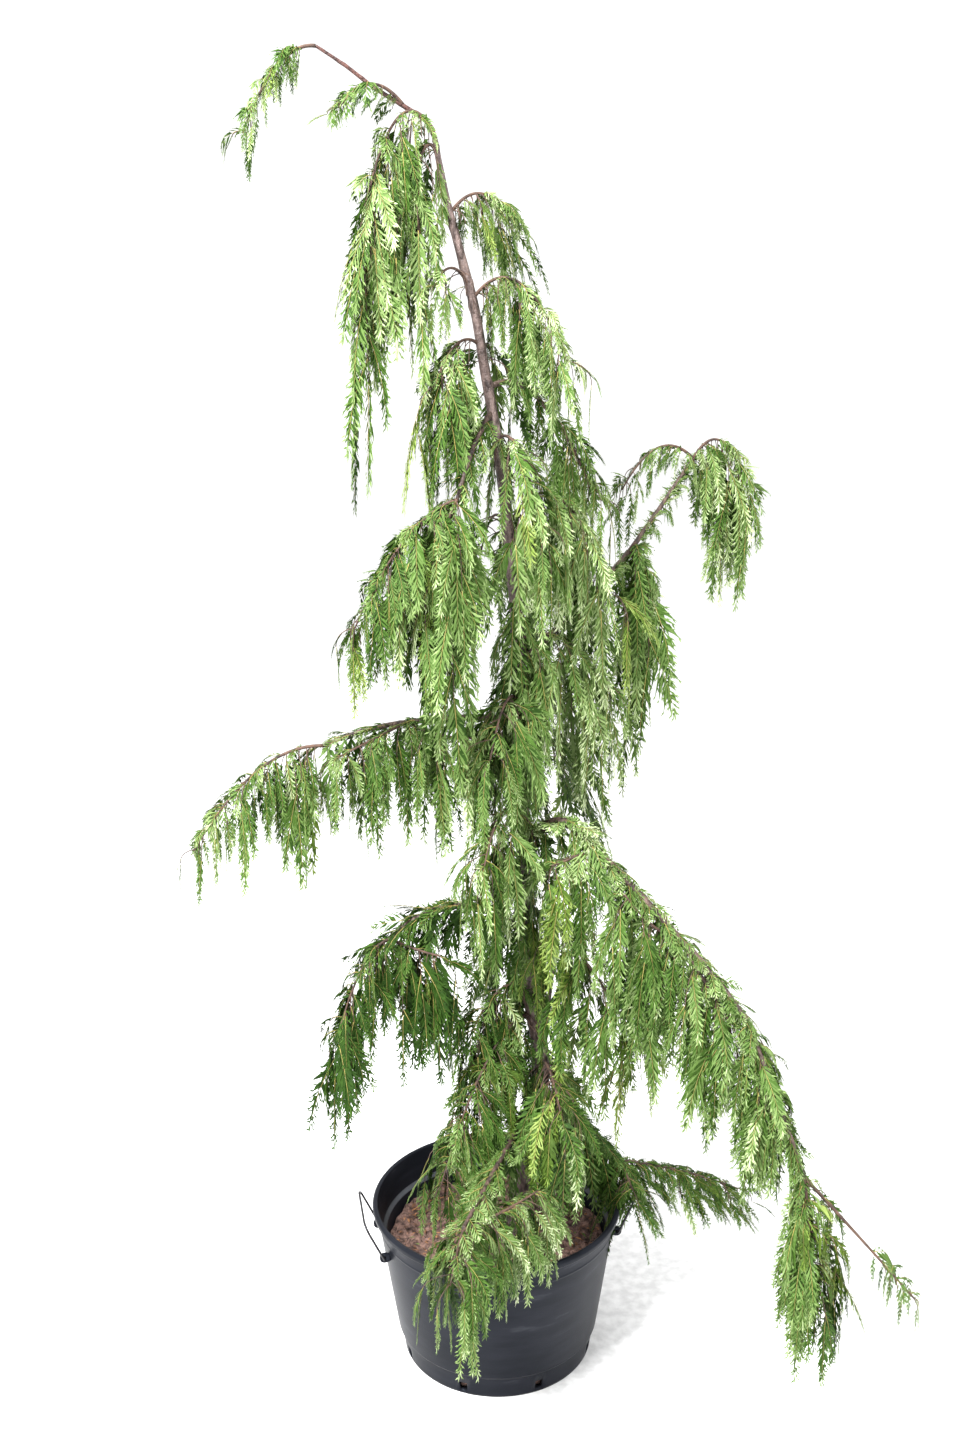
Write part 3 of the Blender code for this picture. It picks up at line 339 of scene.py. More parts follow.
# Boughs with a crest of longer sprays on top, and how many shades lighter it is: painted light on the bough's top
CREST = {"right_long_bough_1": ((0.060, 0.105), 0.9), "left_low_bough": ((0.060, 0.110), 0.1),
         "right_long_bough_2": ((0.045, 0.080), 0.4), "left_long_bough_in": ((0.040, 0.075), 0.2),
         "right_low_bough": ((0.050, 0.085), 0.0), "right_long_bough_3": ((0.040, 0.070), 0.3),
         "right_long_bough_4": ((0.040, 0.070), 0.2), "raised_bough_high": ((0.040, 0.065), 0.9),
         "raised_bough_low": ((0.040, 0.065), 0.4),
         "front_bough": ((0.050, 0.080), 1.5)}
CREST_END = {"front_bough": 0.20}

# Masses whose sprays stand out along their stem rather than hang, and those bare at first
SPREADING = {"right_low": 0.65, "right_low_inner": 0.5, "leader_tuft": 0.8, "leader_tassel": 0.25, "raised_left": 0.4, "right_top": 0.3,
             "back_middle": 0.32, "back_low": 0.25, "back_upper": 0.25}
SLENDER = ("leader_tassel", "crown_outer", "crown_inner", "left_high", "right_high", "right_top",
           "raised_left", "raised_tip", "left_long_outer", "left_upper_outer")
BARE = {"right_long_end": 0.62, "leader_tassel": 0.16, "left_high": 0.20}

# The share of a mass's sprays painted pale: painted highlight where the light burns them out
PALE = {"left_upper_inner": 0.05, "right_mid": 0.05, "crown_inner": 0.12, "crown_outer": 0.05,
        "leader_tassel": 0.15, "raised_tip": 0.12, "raised_left": 0.12, "front_middle": 0.12, "front_upper": 0.05, "right_long_inner": 0.12}
PALE_ELSEWHERE = 0.015
PALE_TONE = 3.9

# Yellower fans: the part of a mass's sprays that are mossy rather than blue-green
MOSSY = {"right_inner": 0.55, "right_long_inner": 0.15, "right_long_drop": 0.12, "right_long_low": 0.12}
MOSSY_ELSEWHERE = 0.04

# Heights between which the trunk's front is left clear, how wide, and how often all the same
CLEAR_FRONT = [(0.550, 0.655), (1.400, 1.480), (1.500, 1.700), (1.730, 1.860), (1.880, 2.060)]
CLEAR_WIDTH = 0.024
CLEAR_SHARE = 0.92

# Camera: it stands level with the upper crown and looks down at the pot
CAMERA_PLACE = (-0.0207, -2.268, 1.73475)
CAMERA_PITCH = 13.8
CAMERA_ROLL = 0.6
CAMERA_LENS = 35.0


def principled(name, colour, roughness, metallic=0.0):
    """A Principled material of one colour, roughness and metalness; returns it with its nodes, links and shader."""
    material = bpy.data.materials.new(name)
    material.use_nodes = True
    nodes = material.node_tree.nodes
    links = material.node_tree.links
    shader = nodes["Principled BSDF"]
    shader.inputs["Base Color"].default_value = (*colour, 1.0)
    shader.inputs["Roughness"].default_value = roughness
    shader.inputs["Metallic"].default_value = metallic
    return material, nodes, links, shader


def noise_colour(nodes, links, shader, scale, dark, light, detail=3.0):
    """Base colour between two shades by a noise of the given scale."""
    place = nodes.new("ShaderNodeTexCoord")
    noise = nodes.new("ShaderNodeTexNoise")
    noise.inputs["Scale"].default_value = scale
    noise.inputs["Detail"].default_value = detail
    ramp = nodes.new("ShaderNodeValToRGB")
    ramp.color_ramp.elements[0].position = 0.35
    ramp.color_ramp.elements[0].color = (*dark, 1.0)
    ramp.color_ramp.elements[1].position = 0.65
    ramp.color_ramp.elements[1].color = (*light, 1.0)
    links.new(place.outputs["Object"], noise.inputs["Vector"])
    links.new(noise.outputs["Fac"], ramp.inputs["Fac"])
    links.new(ramp.outputs["Color"], shader.inputs["Base Color"])
    return place, noise


def bump(nodes, links, shader, place, scale, strength, distance):
    """A fine bump by a noise of the given scale."""
    noise = nodes.new("ShaderNodeTexNoise")
    noise.inputs["Scale"].default_value = scale
    node = nodes.new("ShaderNodeBump")
    node.inputs["Strength"].default_value = strength
    node.inputs["Distance"].default_value = distance
    links.new(place.outputs["Object"], noise.inputs["Vector"])
    links.new(noise.outputs["Fac"], node.inputs["Height"])
    links.new(node.outputs["Normal"], shader.inputs["Normal"])


def leaf_green(name, dark, light):
    material, nodes, links, shader = principled(name, light, 0.6)
    shader.inputs["Specular IOR Level"].default_value = 0.12
    noise_colour(nodes, links, shader, 60.0, dark, light)
    return material


def bark_material(name, dark, light):
    """Bark whose noise is drawn out along the height, so that its streaks run up the limb."""
    material, nodes, links, shader = principled(name, light, 0.55)
    shader.inputs["Specular IOR Level"].default_value = 0.45
    place, noise = noise_colour(nodes, links, shader, 120.0, dark, light, 6.0)
    stretch = nodes.new("ShaderNodeMapping")
    stretch.inputs["Scale"].default_value = (1.0, 1.0, 0.35)
    links.new(place.outputs["Object"], stretch.inputs["Vector"])
    links.new(stretch.outputs["Vector"], noise.inputs["Vector"])
    bump(nodes, links, shader, place, 260.0, 0.9, 0.003)
    return material


def twig_material():
    material, nodes, links, shader = principled("twig", (0.16, 0.10, 0.06), 0.75)
    noise_colour(nodes, links, shader, 70.0, (0.030, 0.016, 0.012), (0.105, 0.058, 0.038))
    return material


def spray_axis_material():
    material, nodes, links, shader = principled("spray_axis", (0.24, 0.22, 0.07), 0.7)
    noise_colour(nodes, links, shader, 40.0, (0.16, 0.14, 0.035), (0.38, 0.30, 0.080))
    return material


def pot_material():
    """Near-black plastic with faint level scuffs: a noise drawn out round the pot."""
    material, nodes, links, shader = principled("pot_plastic", (0.010, 0.011, 0.014), 0.38)
    shader.inputs["Specular IOR Level"].default_value = 0.07
    shader.inputs["Specular Tint"].default_value = (0.74, 0.85, 1.0, 1.0)
    place, noise = noise_colour(nodes, links, shader, 9.0, (0.008, 0.009, 0.012), (0.014, 0.015, 0.020), 9.0)
    ramp = links.new(noise.outputs["Fac"], noise.outputs["Fac"].links[0].to_node.inputs["Fac"]).to_node
    scuff = ramp.color_ramp.elements.new(0.78)
    scuff.color = (0.040, 0.043, 0.050, 1.0)
    stretch = nodes.new("ShaderNodeMapping")
    stretch.inputs["Scale"].default_value = (1.0, 1.0, 5.0)
    links.new(place.outputs["Object"], stretch.inputs["Vector"])
    links.new(stretch.outputs["Vector"], noise.inputs["Vector"])
    bump(nodes, links, shader, place, 420.0, 0.12, 0.001)
    return material


def wire_material():
    material, nodes, links, shader = principled("handle_wire", (0.03, 0.03, 0.033), 0.42, 0.8)
    noise_colour(nodes, links, shader, 90.0, (0.022, 0.022, 0.025), (0.05, 0.048, 0.05))
    return material


def soil_material():
    material, nodes, links, shader = principled("potting_soil", (0.085, 0.05, 0.036), 0.95)
    place, _ = noise_colour(nodes, links, shader, 75.0, (0.040, 0.022, 0.018), (0.250, 0.147, 0.116), 9.0)
    bump(nodes, links, shader, place, 200.0, 1.0, 0.006)
    return material


def plain_material(name, colour, roughness):
    material, nodes, links, shader = principled(name, colour, roughness)
    noise_colour(nodes, links, shader, 50.0, tuple(0.8 * c for c in colour), colour)
    return material


def mesh_piece(name, verts, faces, materials, slots=None, smooth=False):
    """A mesh object from whole arrays: faces of one size, a material number for each."""
    verts = np.asarray(verts, dtype=np.float32)
    faces = np.asarray(faces, dtype=np.int32)
    mesh = bpy.data.meshes.new(name)
    corners = faces.shape[1]
    mesh.vertices.add(len(verts))
    mesh.vertices.foreach_set("co", verts.ravel())
    mesh.loops.add(faces.size)
    mesh.loops.foreach_set("vertex_index", faces.ravel())
    mesh.polygons.add(len(faces))
    mesh.polygons.foreach_set("loop_start", np.arange(0, faces.size, corners, dtype=np.int32))
    for material in materials:
        mesh.materials.append(material)
    if slots is not None:
        mesh.polygons.foreach_set("material_index", np.asarray(slots, dtype=np.int32))
    mesh.update(calc_edges=True)
    mesh.validate()
    if smooth:
        mesh.shade_smooth()
    else:
        mesh.shade_flat()
    obj = bpy.data.objects.new(name, mesh)
    bpy.context.scene.collection.objects.link(obj)
    return obj


def unit(vector):
    return vector / np.linalg.norm(vector, axis=-1, keepdims=True)


def heading_vector(degrees):
    angle = math.radians(degrees)
    return np.array([math.cos(angle), math.sin(angle), 0.0])


def smooth_path(knots, count):
    """A Catmull-Rom curve through the knots."""
    knots = np.asarray(knots, dtype=float)
    padded = np.vstack([2 * knots[0] - knots[1], knots, 2 * knots[-1] - knots[-2]])
    value = np.linspace(0.0, len(knots) - 1.0, count)
    index = np.minimum(value.astype(int), len(knots) - 2)
    t = (value - index)[:, None]
    a, b, c, d = (padded[index + k] for k in range(4))
    return 0.5 * (2 * b + (c - a) * t + (2 * a - 5 * b + 4 * c - d) * t ** 2
                  + (3 * b - a - 3 * c + d) * t ** 3)


def arch(start, limb, count):
    """start + heading*reach*t + up*(climb*t - droop*t*t), t from 0 to 1."""
    t = np.linspace(0.0, 1.0, count)[:, None]
    return start + heading_vector(limb.heading) * limb.reach * t + UP * (limb.climb * t - limb.droop * t * t)


def frames(points):
    """Unit tangents and two directions across a path, turned as little as possible."""
    tangents = unit(np.gradient(points, axis=0))
    across = np.cross(UP if abs(tangents[0][2]) < 0.9 else np.array([1.0, 0.0, 0.0]), tangents[0])
    rows = []
    for tangent in tangents:
        across = across - tangent * np.dot(across, tangent)
        across = across / np.linalg.norm(across)
        rows.append(across)
    across = np.array(rows)
    return tangents, across, np.cross(tangents, across)


def tube_arrays(points, radii, sides):
    """Closed tube: point + r(i, j) * (cos(a_j)*across + sin(a_j)*up), ends shut by a middle point.

    `radii` is one radius a ring or a grid of rings by sides.
    """
    points = np.asarray(points, dtype=float)
    _, across, up = frames(points)
    angle = math.tau * np.arange(sides) / sides
    radii = np.asarray(radii, dtype=float)
    if radii.ndim == 1:
        radii = radii[:, None] * np.ones(sides)
    ring = radii[..., None] * (np.cos(angle)[None, :, None] * across[:, None]
                               + np.sin(angle)[None, :, None] * up[:, None])
    verts = np.vstack([(points[:, None] + ring).reshape(-1, 3), points[:1], points[-1:]])
    count = len(points)
    i = np.arange(count - 1)[:, None] * sides
    j = np.arange(sides)[None]
    after = (j + 1) % sides
    a, b, c, d = (i + j).ravel(), (i + after).ravel(), (i + sides + after).ravel(), (i + sides + j).ravel()
    faces = np.vstack([np.stack([a, b, c], 1), np.stack([a, c, d], 1)])
    j, after = j.ravel(), after.ravel()
    first, last = count * sides, count * sides + 1
    top = (count - 1) * sides
    caps = np.vstack([np.stack([after, j, np.full(sides, first)], 1),
                      np.stack([top + j, top + after, np.full(sides, last)], 1)])
    return verts, np.vstack([faces, caps])


def joined(parts):
    """Several (verts, faces) as one."""
    offset = 0
    all_verts = []
    all_faces = []
    for verts, faces in parts:
        all_verts.append(verts)
        all_faces.append(faces + offset)
        offset += len(verts)
    return np.vstack(all_verts), np.vstack(all_faces)


def soft_noise(rng, rows, columns, across_rows, across_columns):
    """A smooth random field on a grid that wraps round its columns: a coarse grid of random
    numbers, read between its points by cosine steps."""
    coarse = rng.uniform(-1.0, 1.0, (across_rows + 1, across_columns))
    r = np.linspace(0.0, across_rows, rows, endpoint=False)
    c = np.linspace(0.0, across_columns, columns, endpoint=False)
    r0 = r.astype(int)
    c0 = c.astype(int)
    fr = 0.5 - 0.5 * np.cos(math.pi * (r - r0))[:, None]
    fc = 0.5 - 0.5 * np.cos(math.pi * (c - c0))[None]
    c1 = (c0 + 1) % across_columns
    low = coarse[r0][:, c0] * (1 - fc) + coarse[r0][:, c1] * fc
    high = coarse[r0 + 1][:, c0] * (1 - fc) + coarse[r0 + 1][:, c1] * fc
    return low * (1 - fr) + high * fr


def bark_relief(rng, rings, sides):
    """Long shallow plates and a few knots, as parts of the radius."""
    plates = soft_noise(rng, rings, sides, max(2, rings // 14), max(4, sides // 4))
    fine = soft_noise(rng, rings, sides, max(2, rings // 5), sides // 2)
    ring = np.arange(rings)[:, None]
    angle = math.tau * np.arange(sides)[None] / sides
    knots = np.zeros((rings, sides))
    for _ in range(rings // KNOT_STEP):
        at = rng.uniform(0.0, rings)
        toward = rng.uniform(0.0, math.tau)
        size = rng.uniform(0.10, 0.34)
        wide = rng.uniform(1.2, 2.6)
        knots += size * np.exp(-((ring - at) / wide) ** 2) * np.clip(np.cos(angle - toward), 0.0, 1.0) ** 3
    return 1.0 + 0.045 * plates + 0.035 * fine + knots


def trunk_piece(material, young):
    """The trunk: r(s, a) = taper(s) * (1 + flare) * bark relief, along the smooth path."""
    rng = np.random.default_rng(SEED)
    rings = 460
    sides = 28
    points = smooth_path([knot for knot, _ in TRUNK], rings)
    points[0][2] = TRUNK[0][0][2]
    taper = np.interp(np.linspace(0, len(TRUNK) - 1, rings), range(len(TRUNK)), [r for _, r in TRUNK])
    angle = math.tau * np.arange(sides) / sides
    fade = np.clip((FLARE_TOP - points[:, 2]) / (FLARE_TOP - SOIL_TOP), 0.0, 1.0)
    flare = 1.0 + FLARE_DEPTH * fade[:, None] * np.cos(FLARE_RIDGES * angle)[None]
    verts, faces = tube_arrays(points, taper[:, None] * flare * bark_relief(rng, rings, sides), sides)
    verts[:sides, 2] = TRUNK[0][0][2]
    slots = verts[faces[:, 0], 2] > YOUNG_FROM
    piece = mesh_piece("trunk_bark", verts, faces, [material, young], slots, smooth=True)
    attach(piece, "root")
    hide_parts("trunk")
    return points


def on_trunk(path, height):
    """The trunk's middle at a height."""
    return np.array([np.interp(height, path[:, 2], path[:, axis]) for axis in range(3)])


def thin_stem_piece(material):
    """A relief tube along THIN_STEM, its ends inside the trunk."""
    rings = 90
    sides = 14
    rng = np.random.default_rng(SEED + 90)
    points = smooth_path(THIN_STEM, rings)
    radii = np.linspace(*THIN_STEM_RADII, rings)[:, None] * bark_relief(rng, rings, sides)
    verts, faces = tube_arrays(points, radii, sides)
    piece = mesh_piece("thin_stem_bark", verts, faces, [material], smooth=True)
    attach(piece, "root")


def bough_pieces(path, material):
    """One relief tube a bough; returns where each one's tip is and its middle line."""
    tips = {"tip": path[-1]}
    lines = {}
    for number, bough in enumerate(BOUGHS):
        rng = np.random.default_rng(SEED + 100 + number)
        start = on_trunk(path, bough.height) if bough.on == "trunk" else tips[bough.on]
        rings = 70
        sides = 16
        points = arch(start, bough, rings)
        radii = np.linspace(bough.thick, bough.tip, rings)[:, None] * bark_relief(rng, rings, sides)
        verts, faces = tube_arrays(points, radii, sides)
        piece = mesh_piece(bough.name + "_bark", verts, faces, [material], smooth=True)
        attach(piece, "root")
        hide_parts(bough.name)
        tips[bough.name] = points[-1]
        lines[bough.name] = points
    return tips, lines


def plume(rng, pairs, half_width, cord, opening):
    """One spray, each measure a part of its length: y runs along it, x across, z up from it.

    Side shoots leave the axis left and right in turn, at an angle that narrows from
    ANGLE_AT_ROOT to ANGLE_AT_TIP. They reach out to half_width*(0.5 + 0.5*min(1, 5y))*(1 - y)^0.95,
    so the outline is a lance. Cords sit left and right in turn on each. Every cord is a closed kite
    of four faces: root, tip and two shoulders that lie lower. Wide dark kites behind every other
    pair of side shoots, and a few more behind the axis, are painted shade. Returns the kites'
    corners, their faces, and each face's lightness. The lightness rises towards the tip of the spray,
    partly as the spray's own lighter tips and partly as painted highlight, and is low on the painted
    shade kites. `cord` scales the cords and their step.
    """
    roots = []
    angles = []
    lengths = []
    widths = []
    tip_light_and_shade = []
    depths = []
    count = 2 * pairs
    for index in range(count):
        y = 0.03 + 0.90 * (index + rng.uniform(-0.25, 0.25)) / count
        y = max(0.02, y)
        side = 1 if index % 2 else -1
        lean = side * opening * math.radians(ANGLE_AT_ROOT + (ANGLE_AT_TIP - ANGLE_AT_ROOT) * y + rng.uniform(-4, 4))
        reach = half_width * (0.5 + 0.5 * min(1.0, 5.0 * y)) * (1.0 - y) ** 0.95
        length = max(0.05, reach / math.sin(abs(lean)) * rng.uniform(0.50, 1.30))
        roots.append((0.0, y))
        angles.append(lean)
        lengths.append(length + 0.4 * CORD_LENGTH * cord)
        widths.append(FINGER_WIDTH * min(1.0, 0.35 + 4.0 * length))
        tip_light_and_shade.append(0.35 * y + 0.12)
        depths.append(FINGER_DEPTH)
        # A wide dark kite behind this side shoot: painted shade between the cords
        if index % 4 < 2:
            roots.append((0.0, y - 0.01))
            angles.append(lean)
            lengths.append(PAINTED_SHADE_LENGTH * length)
            widths.append(PAINTED_SHADE_WIDTH * min(1.0, 0.35 + 4.0 * length))
            tip_light_and_shade.append(PAINTED_SHADE_TONE)
            depths.append(PAINTED_SHADE_DEPTH)
        cords = max(1, int(length / (CORD_STEP * cord)))
        for number in range(cords):
            at = (number + rng.uniform(0.55, 0.85)) / cords * length
            turn = (1 if number % 2 else -1) * side * math.radians(CORD_ANGLE + rng.uniform(-6, 6))
            roots.append((math.sin(lean) * at, y + math.cos(lean) * at))
            angles.append(lean - turn)
            lengths.append(CORD_LENGTH * cord * rng.uniform(0.8, 1.15) * (1.12 - 0.4 * at / length))
            widths.append(rng.uniform(0.85, 1.15))
            tip_light_and_shade.append(0.45 * y + 0.55 * at / length)
            depths.append(0.0)
    for step in range(3):
        roots.append((0.0, 0.80 + 0.05 * step))
        angles.append(rng.uniform(-0.3, 0.3))
        lengths.append(0.15 - 0.02 * step)
        widths.append(0.8)
        tip_light_and_shade.append(1.0)
        depths.append(0.0)
    # Wide dark kites behind the axis: painted shade in the plume's middle
    shade_webs = PAINTED_SHADE_WEBS if cord == 1.0 else 0
    for step in range(shade_webs):
        y = 0.02 + 0.80 * step / shade_webs
        roots.append((0.0, y))
        angles.append(rng.uniform(-0.1, 0.1))
        lengths.append(PAINTED_SHADE_WEB_LENGTH)
        widths.append(PAINTED_SHADE_WEB_PART * half_width * (1.0 - y) ** 0.8 / (0.5 * CORD_WIDTH))
        tip_light_and_shade.append(-0.15)
        depths.append(PAINTED_SHADE_WEB_DEPTH)
    roots = np.array(roots)
    angles = np.array(angles)
    lengths = np.array(lengths)
    half = 0.5 * CORD_WIDTH * cord * np.array(widths)
    count = len(angles)
    along = np.stack([np.sin(angles), np.cos(angles), rng.uniform(-0.12, 0.12, count)], 1)
    cross = np.stack([np.cos(angles), -np.sin(angles), rng.uniform(-0.22, 0.22, count)], 1)
    along[-shade_webs or count:, 2] = 0.0
    cross[-shade_webs or count:, 2] = 0.0
    root = np.concatenate([roots, -np.array(depths)[:, None]], 1)
    tip = root + along * lengths[:, None]
    middle = root + along * lengths[:, None] * KITE_MIDDLE - np.array([0.0, 0.0, CORD_THICK])
    verts = np.stack([root, tip, middle + cross * half[:, None], middle - cross * half[:, None]], 1)
    base = 4 * np.arange(count)[:, None, None]
    faces = base + np.array([(0, 2, 1), (0, 1, 3), (2, 0, 3), (2, 3, 1)])[None]
    near = np.repeat(np.array(tip_light_and_shade), 4)
    return verts.reshape(-1, 3), faces.reshape(-1, 3), near


def axis_strip(wider):
    """A spray's own twig: a three-sided tube along y, thinner to its tip."""
    points = np.stack([np.zeros(5), np.linspace(0.0, 0.80, 5), np.full(5, -AXIS_DEPTH)], 1)
    return tube_arrays(points, np.array(AXIS_RADII) * wider, 3)


def hung(verts, faces, rows):
    """A template at every place: root + L*(x*across + z*normal + along*(y - k*y*y/2) + down*k*y*y/2).

    So its axis turns from `along` at its root towards straight down, by the share k.
    """
    root = np.array([row.root for row in rows])[:, None]
    along = np.array([row.along for row in rows])[:, None]
    across = np.array([row.across for row in rows])[:, None]
    length = np.array([row.length for row in rows])[:, None, None]
    bend = np.array([row.bend for row in rows])[:, None, None]
    curl = np.array([row.curl for row in rows])[:, None, None]
    normal = np.cross(across, along)
    x = verts[None, :, 0, None]
    y = verts[None, :, 1, None]
    z = verts[None, :, 2, None] - curl * x * x / CURL_SPAN
    fall = 0.5 * bend * y * np.abs(y)
    places = root + length * (x * across + z * normal + (y - fall) * along + fall * DOWN)
    moved = faces[None] + (len(verts) * np.arange(len(rows)))[:, None, None]
    return places.reshape(-1, 3), moved.reshape(-1, 3)


Spray = namedtuple("Spray", "kind root along across length bend curl tone mossy")


def hang_sprays(kinds, rows, shades):
    """The kites of every spray of a piece, with a shade for each face: tone + rise to the tip.
    The rise is partly the sprays' own lighter tips and partly painted highlight, and the dark kites
    behind the cords fall to the deep shades as painted shade.

    The first `shades` slots run from deep to the palest, painted highlight green, and the mossy ones come after them.
    """
    parts = []
    slots = []
    rng = np.random.default_rng(SEED + len(rows))
    for kind, (verts, faces, near) in enumerate(kinds):
        chosen = [row for row in rows if row.kind == kind]
        if not chosen:
            continue
        parts.append(hung(verts, faces, chosen))
        tone = np.array([row.tone for row in chosen])[:, None]
        speckle = np.repeat(rng.uniform(-0.32, 0.32, (len(chosen), len(near) // 4)), 4, axis=1)
        # Tone plus the rise to the tip, partly own colour and partly painted highlight; the dark kites fall to painted
        # shade
        value = tone + TIP_RISE * (near[None] - 0.5) + speckle
        plain = np.clip(np.round(value), 0, shades - 1)
        moss = shades + np.clip(np.round(value - 1.0), 0, MOSS_SHADES - 1)
        mossy = np.array([row.mossy for row in chosen])[:, None]
        slots.append(np.where(mossy, moss, plain).astype(int).ravel())
    verts, faces = joined(parts)
    return verts, faces, np.concatenate(slots)


def shoot_curve(base, out, spread, drop, count):
    """base + out*spread*(2u - u*u) + down*drop*(0.35u + 0.65u*u)."""
    u = np.linspace(0.0, 1.0, count)[:, None]
    return base + out * spread * (2 * u - u * u) + DOWN * drop * (0.35 * u + 0.65 * u * u)


def spray(rng, root, along, facing, length, bend, tone, small=False, mossy=False, narrow=False):
    """One spray's placing: flat across a direction that is turned at random about its axis."""
    along = unit(along)
    side = unit(np.cross(along, facing))
    other = np.cross(side, along)
    spin = rng.uniform(-0.75, 0.75)
    across = side * math.cos(spin) + other * math.sin(spin)
    shapes = len(PLUME_SHAPES)
    kind = PLUME_KINDS + rng.integers(SPRIG_KINDS) if small else rng.integers(PLUME_KINDS)
    if narrow:
        kind = kind // shapes * shapes + kind % (shapes // 2)
    return Spray(int(kind), root, along, across, length, bend, rng.uniform(-0.1, 0.5), tone, mossy)


def point_on(curve, part):
    """The place and direction at a part, 0 to 1, of an even path."""
    at = min(part, 1.0) * (len(curve) - 1)
    low = min(int(at), len(curve) - 2)
    return curve[low] + (curve[low + 1] - curve[low]) * (at - low), unit(curve[low + 1] - curve[low])


def outward_face(root, path, out, share):
    """A level direction between a shoot's own swing and straight out from the trunk."""
    away = root - on_trunk(path, root[2])
    away[2] = 0.0
    return unit(unit(out) * (1.0 - share) + away / (np.linalg.norm(away) + 0.02) * share + 1e-6)


def covers_trunk(row, path):
    """Whether a spray hangs before the trunk at a height where its front is left clear."""
    for part in (0.15, 0.5, 0.85):
        fall = 0.5 * row.bend * part * part
        place = row.root + row.length * ((part - fall) * row.along + fall * DOWN)
        trunk = on_trunk(path, place[2])
        before = place[1] < trunk[1] and abs(place[0] - trunk[0]) < CLEAR_WIDTH
        if before and any(low < place[2] < high for low, high in CLEAR_FRONT):
            return True
    return False


def bunched(s, bunches, phase):
    """A place along a stem, drawn towards the middle of its bunch, and how much shorter it hangs there.

    With w = tau*(s*bunches + phase): s - PULL/(tau*bunches)*sin(w), and 1 - DEPTH*(1 - cos(w))/2.
    """
    wave = math.tau * (s * bunches + phase)
    drawn = s - CLUMP_PULL / (math.tau * bunches) * math.sin(wave)
    return min(1.0, max(0.0, drawn)), 1.0 - CLUMP_DEPTH * (1.0 - math.cos(wave)) / 2.0


def grow(mass, start, path):
    """Stem, shoots and sprays of one mass: twig tubes and rows of placings."""
    rng = np.random.default_rng(SEED + sum(ord(letter) for letter in mass.name))
    stem = arch(start, mass, 24)
    length = np.linalg.norm(np.diff(stem, axis=0), axis=1).sum()
    twigs = [tube_arrays(stem, np.linspace(0.0030, 0.0014, len(stem)), 6)]
    forward = heading_vector(mass.heading)
    sideways = np.array([-forward[1], forward[0], 0.0])
    count = max(4, int(length / SHOOT_GAP * THICK.get(mass.name, 1.0)))
    share = FACE_OUT_BY.get(mass.name, FACE_OUT if mass.on == "trunk" else FACE_OUT_ON_BOUGH)
    # The mass's tone offset: its own tone plus painted shade and painted light
    light = TONE_AND_PAINTED_LIGHT.get(mass.name, 0.0)
    moss = MOSSY.get(mass.name, MOSSY_ELSEWHERE)
    bunches = max(1, round(length / CLUMP_GAP))
    phase = rng.uniform(0.0, 1.0)
    spreading = SPREADING.get(mass.name, 0.0)
    pale = PALE.get(mass.name, PALE_ELSEWHERE)
    rows = []
    for index in range(count + 1):
        s = min(1.0, (index + rng.uniform(0.2, 0.8)) / count)
        if s < BARE.get(mass.name, 0.0):
            continue
        s, shorter = bunched(s, bunches, phase)
        side = 1 if index % 2 else -1
        drop = np.interp(s, (0.0, 0.5, 1.0), mass.drops) * rng.uniform(0.66, 1.12) * shorter
        out = forward if index == count else unit(sideways * side + forward * rng.uniform(-0.3, 0.9))
        base, _ = point_on(stem, s)
        size = float(np.clip(0.75 * drop, 0.045, rng.uniform(*PLUME_LENGTH)))
        fall = max(0.010, drop - 0.92 * size)
        curve = shoot_curve(base, out, mass.spread * rng.uniform(0.2, 1.0), fall, 8)
        run = np.linalg.norm(np.diff(curve, axis=0), axis=1).sum()
        twigs.append(tube_arrays(curve, np.linspace(TWIG_RADIUS, 0.7 * TWIG_RADIUS, 8), 4))
        tone = 2.35 + light + rng.uniform(-0.85, 0.85)
        mossy = rng.uniform() < moss
        steps = int(run / PLUME_GAP)
        for step in range(steps + 1):
            last = step == steps
            root, tangent = point_on(curve, 1.0 if last else (step + rng.uniform(0.15, 0.85)) / max(1, steps))
            cross = unit(np.cross(tangent, out + 1e-6))
            turn = rng.uniform(-0.2, 0.2) if last else (1 if step % 2 else -1) * rng.uniform(0.15, 0.60)
            along = tangent + cross * turn + out * rng.uniform(-0.2, 0.15)
            along = along * (1.0 - spreading) + (out + forward * 0.6) * spreading * rng.uniform(0.5, 1.2)
            room = base[2] - root[2]
            reach = size if last else min(size, 1.04 * drop - room) * rng.uniform(0.75, 1.0)
            facing = outward_face(root, path, out, share * rng.uniform(0.6, 1.4))
            # Some sprays take PALE_TONE: painted highlight
            shade = PALE_TONE if rng.uniform() < pale else tone + rng.uniform(-0.4, 0.4)
            rows.append(spray(rng, root, along, facing, max(0.03, reach),
                              rng.uniform(0.6, 1.15) * (1.0 - 0.4 * spreading), shade, mossy=mossy,
                              narrow=last or mass.name in SLENDER))
        away = out + forward * rng.uniform(0.2, 0.8) + UP * rng.uniform(-0.3, 0.3)
        # The sprig over the shoot is painted up to one shade lighter: painted light on its top
        if rng.uniform() < SPRIG_SHARE:
            rows.append(spray(rng, base, away, UP, rng.uniform(*SPRIG_LENGTH), rng.uniform(0.8, 1.4),
                              tone + rng.uniform(0.0, 1.0), small=True, mossy=mossy))
    chance = rng.uniform(size=len(rows))
    rows = [row for row, draw in zip(rows, chance) if draw > CLEAR_SHARE or not covers_trunk(row, path)]
    return twigs, rows


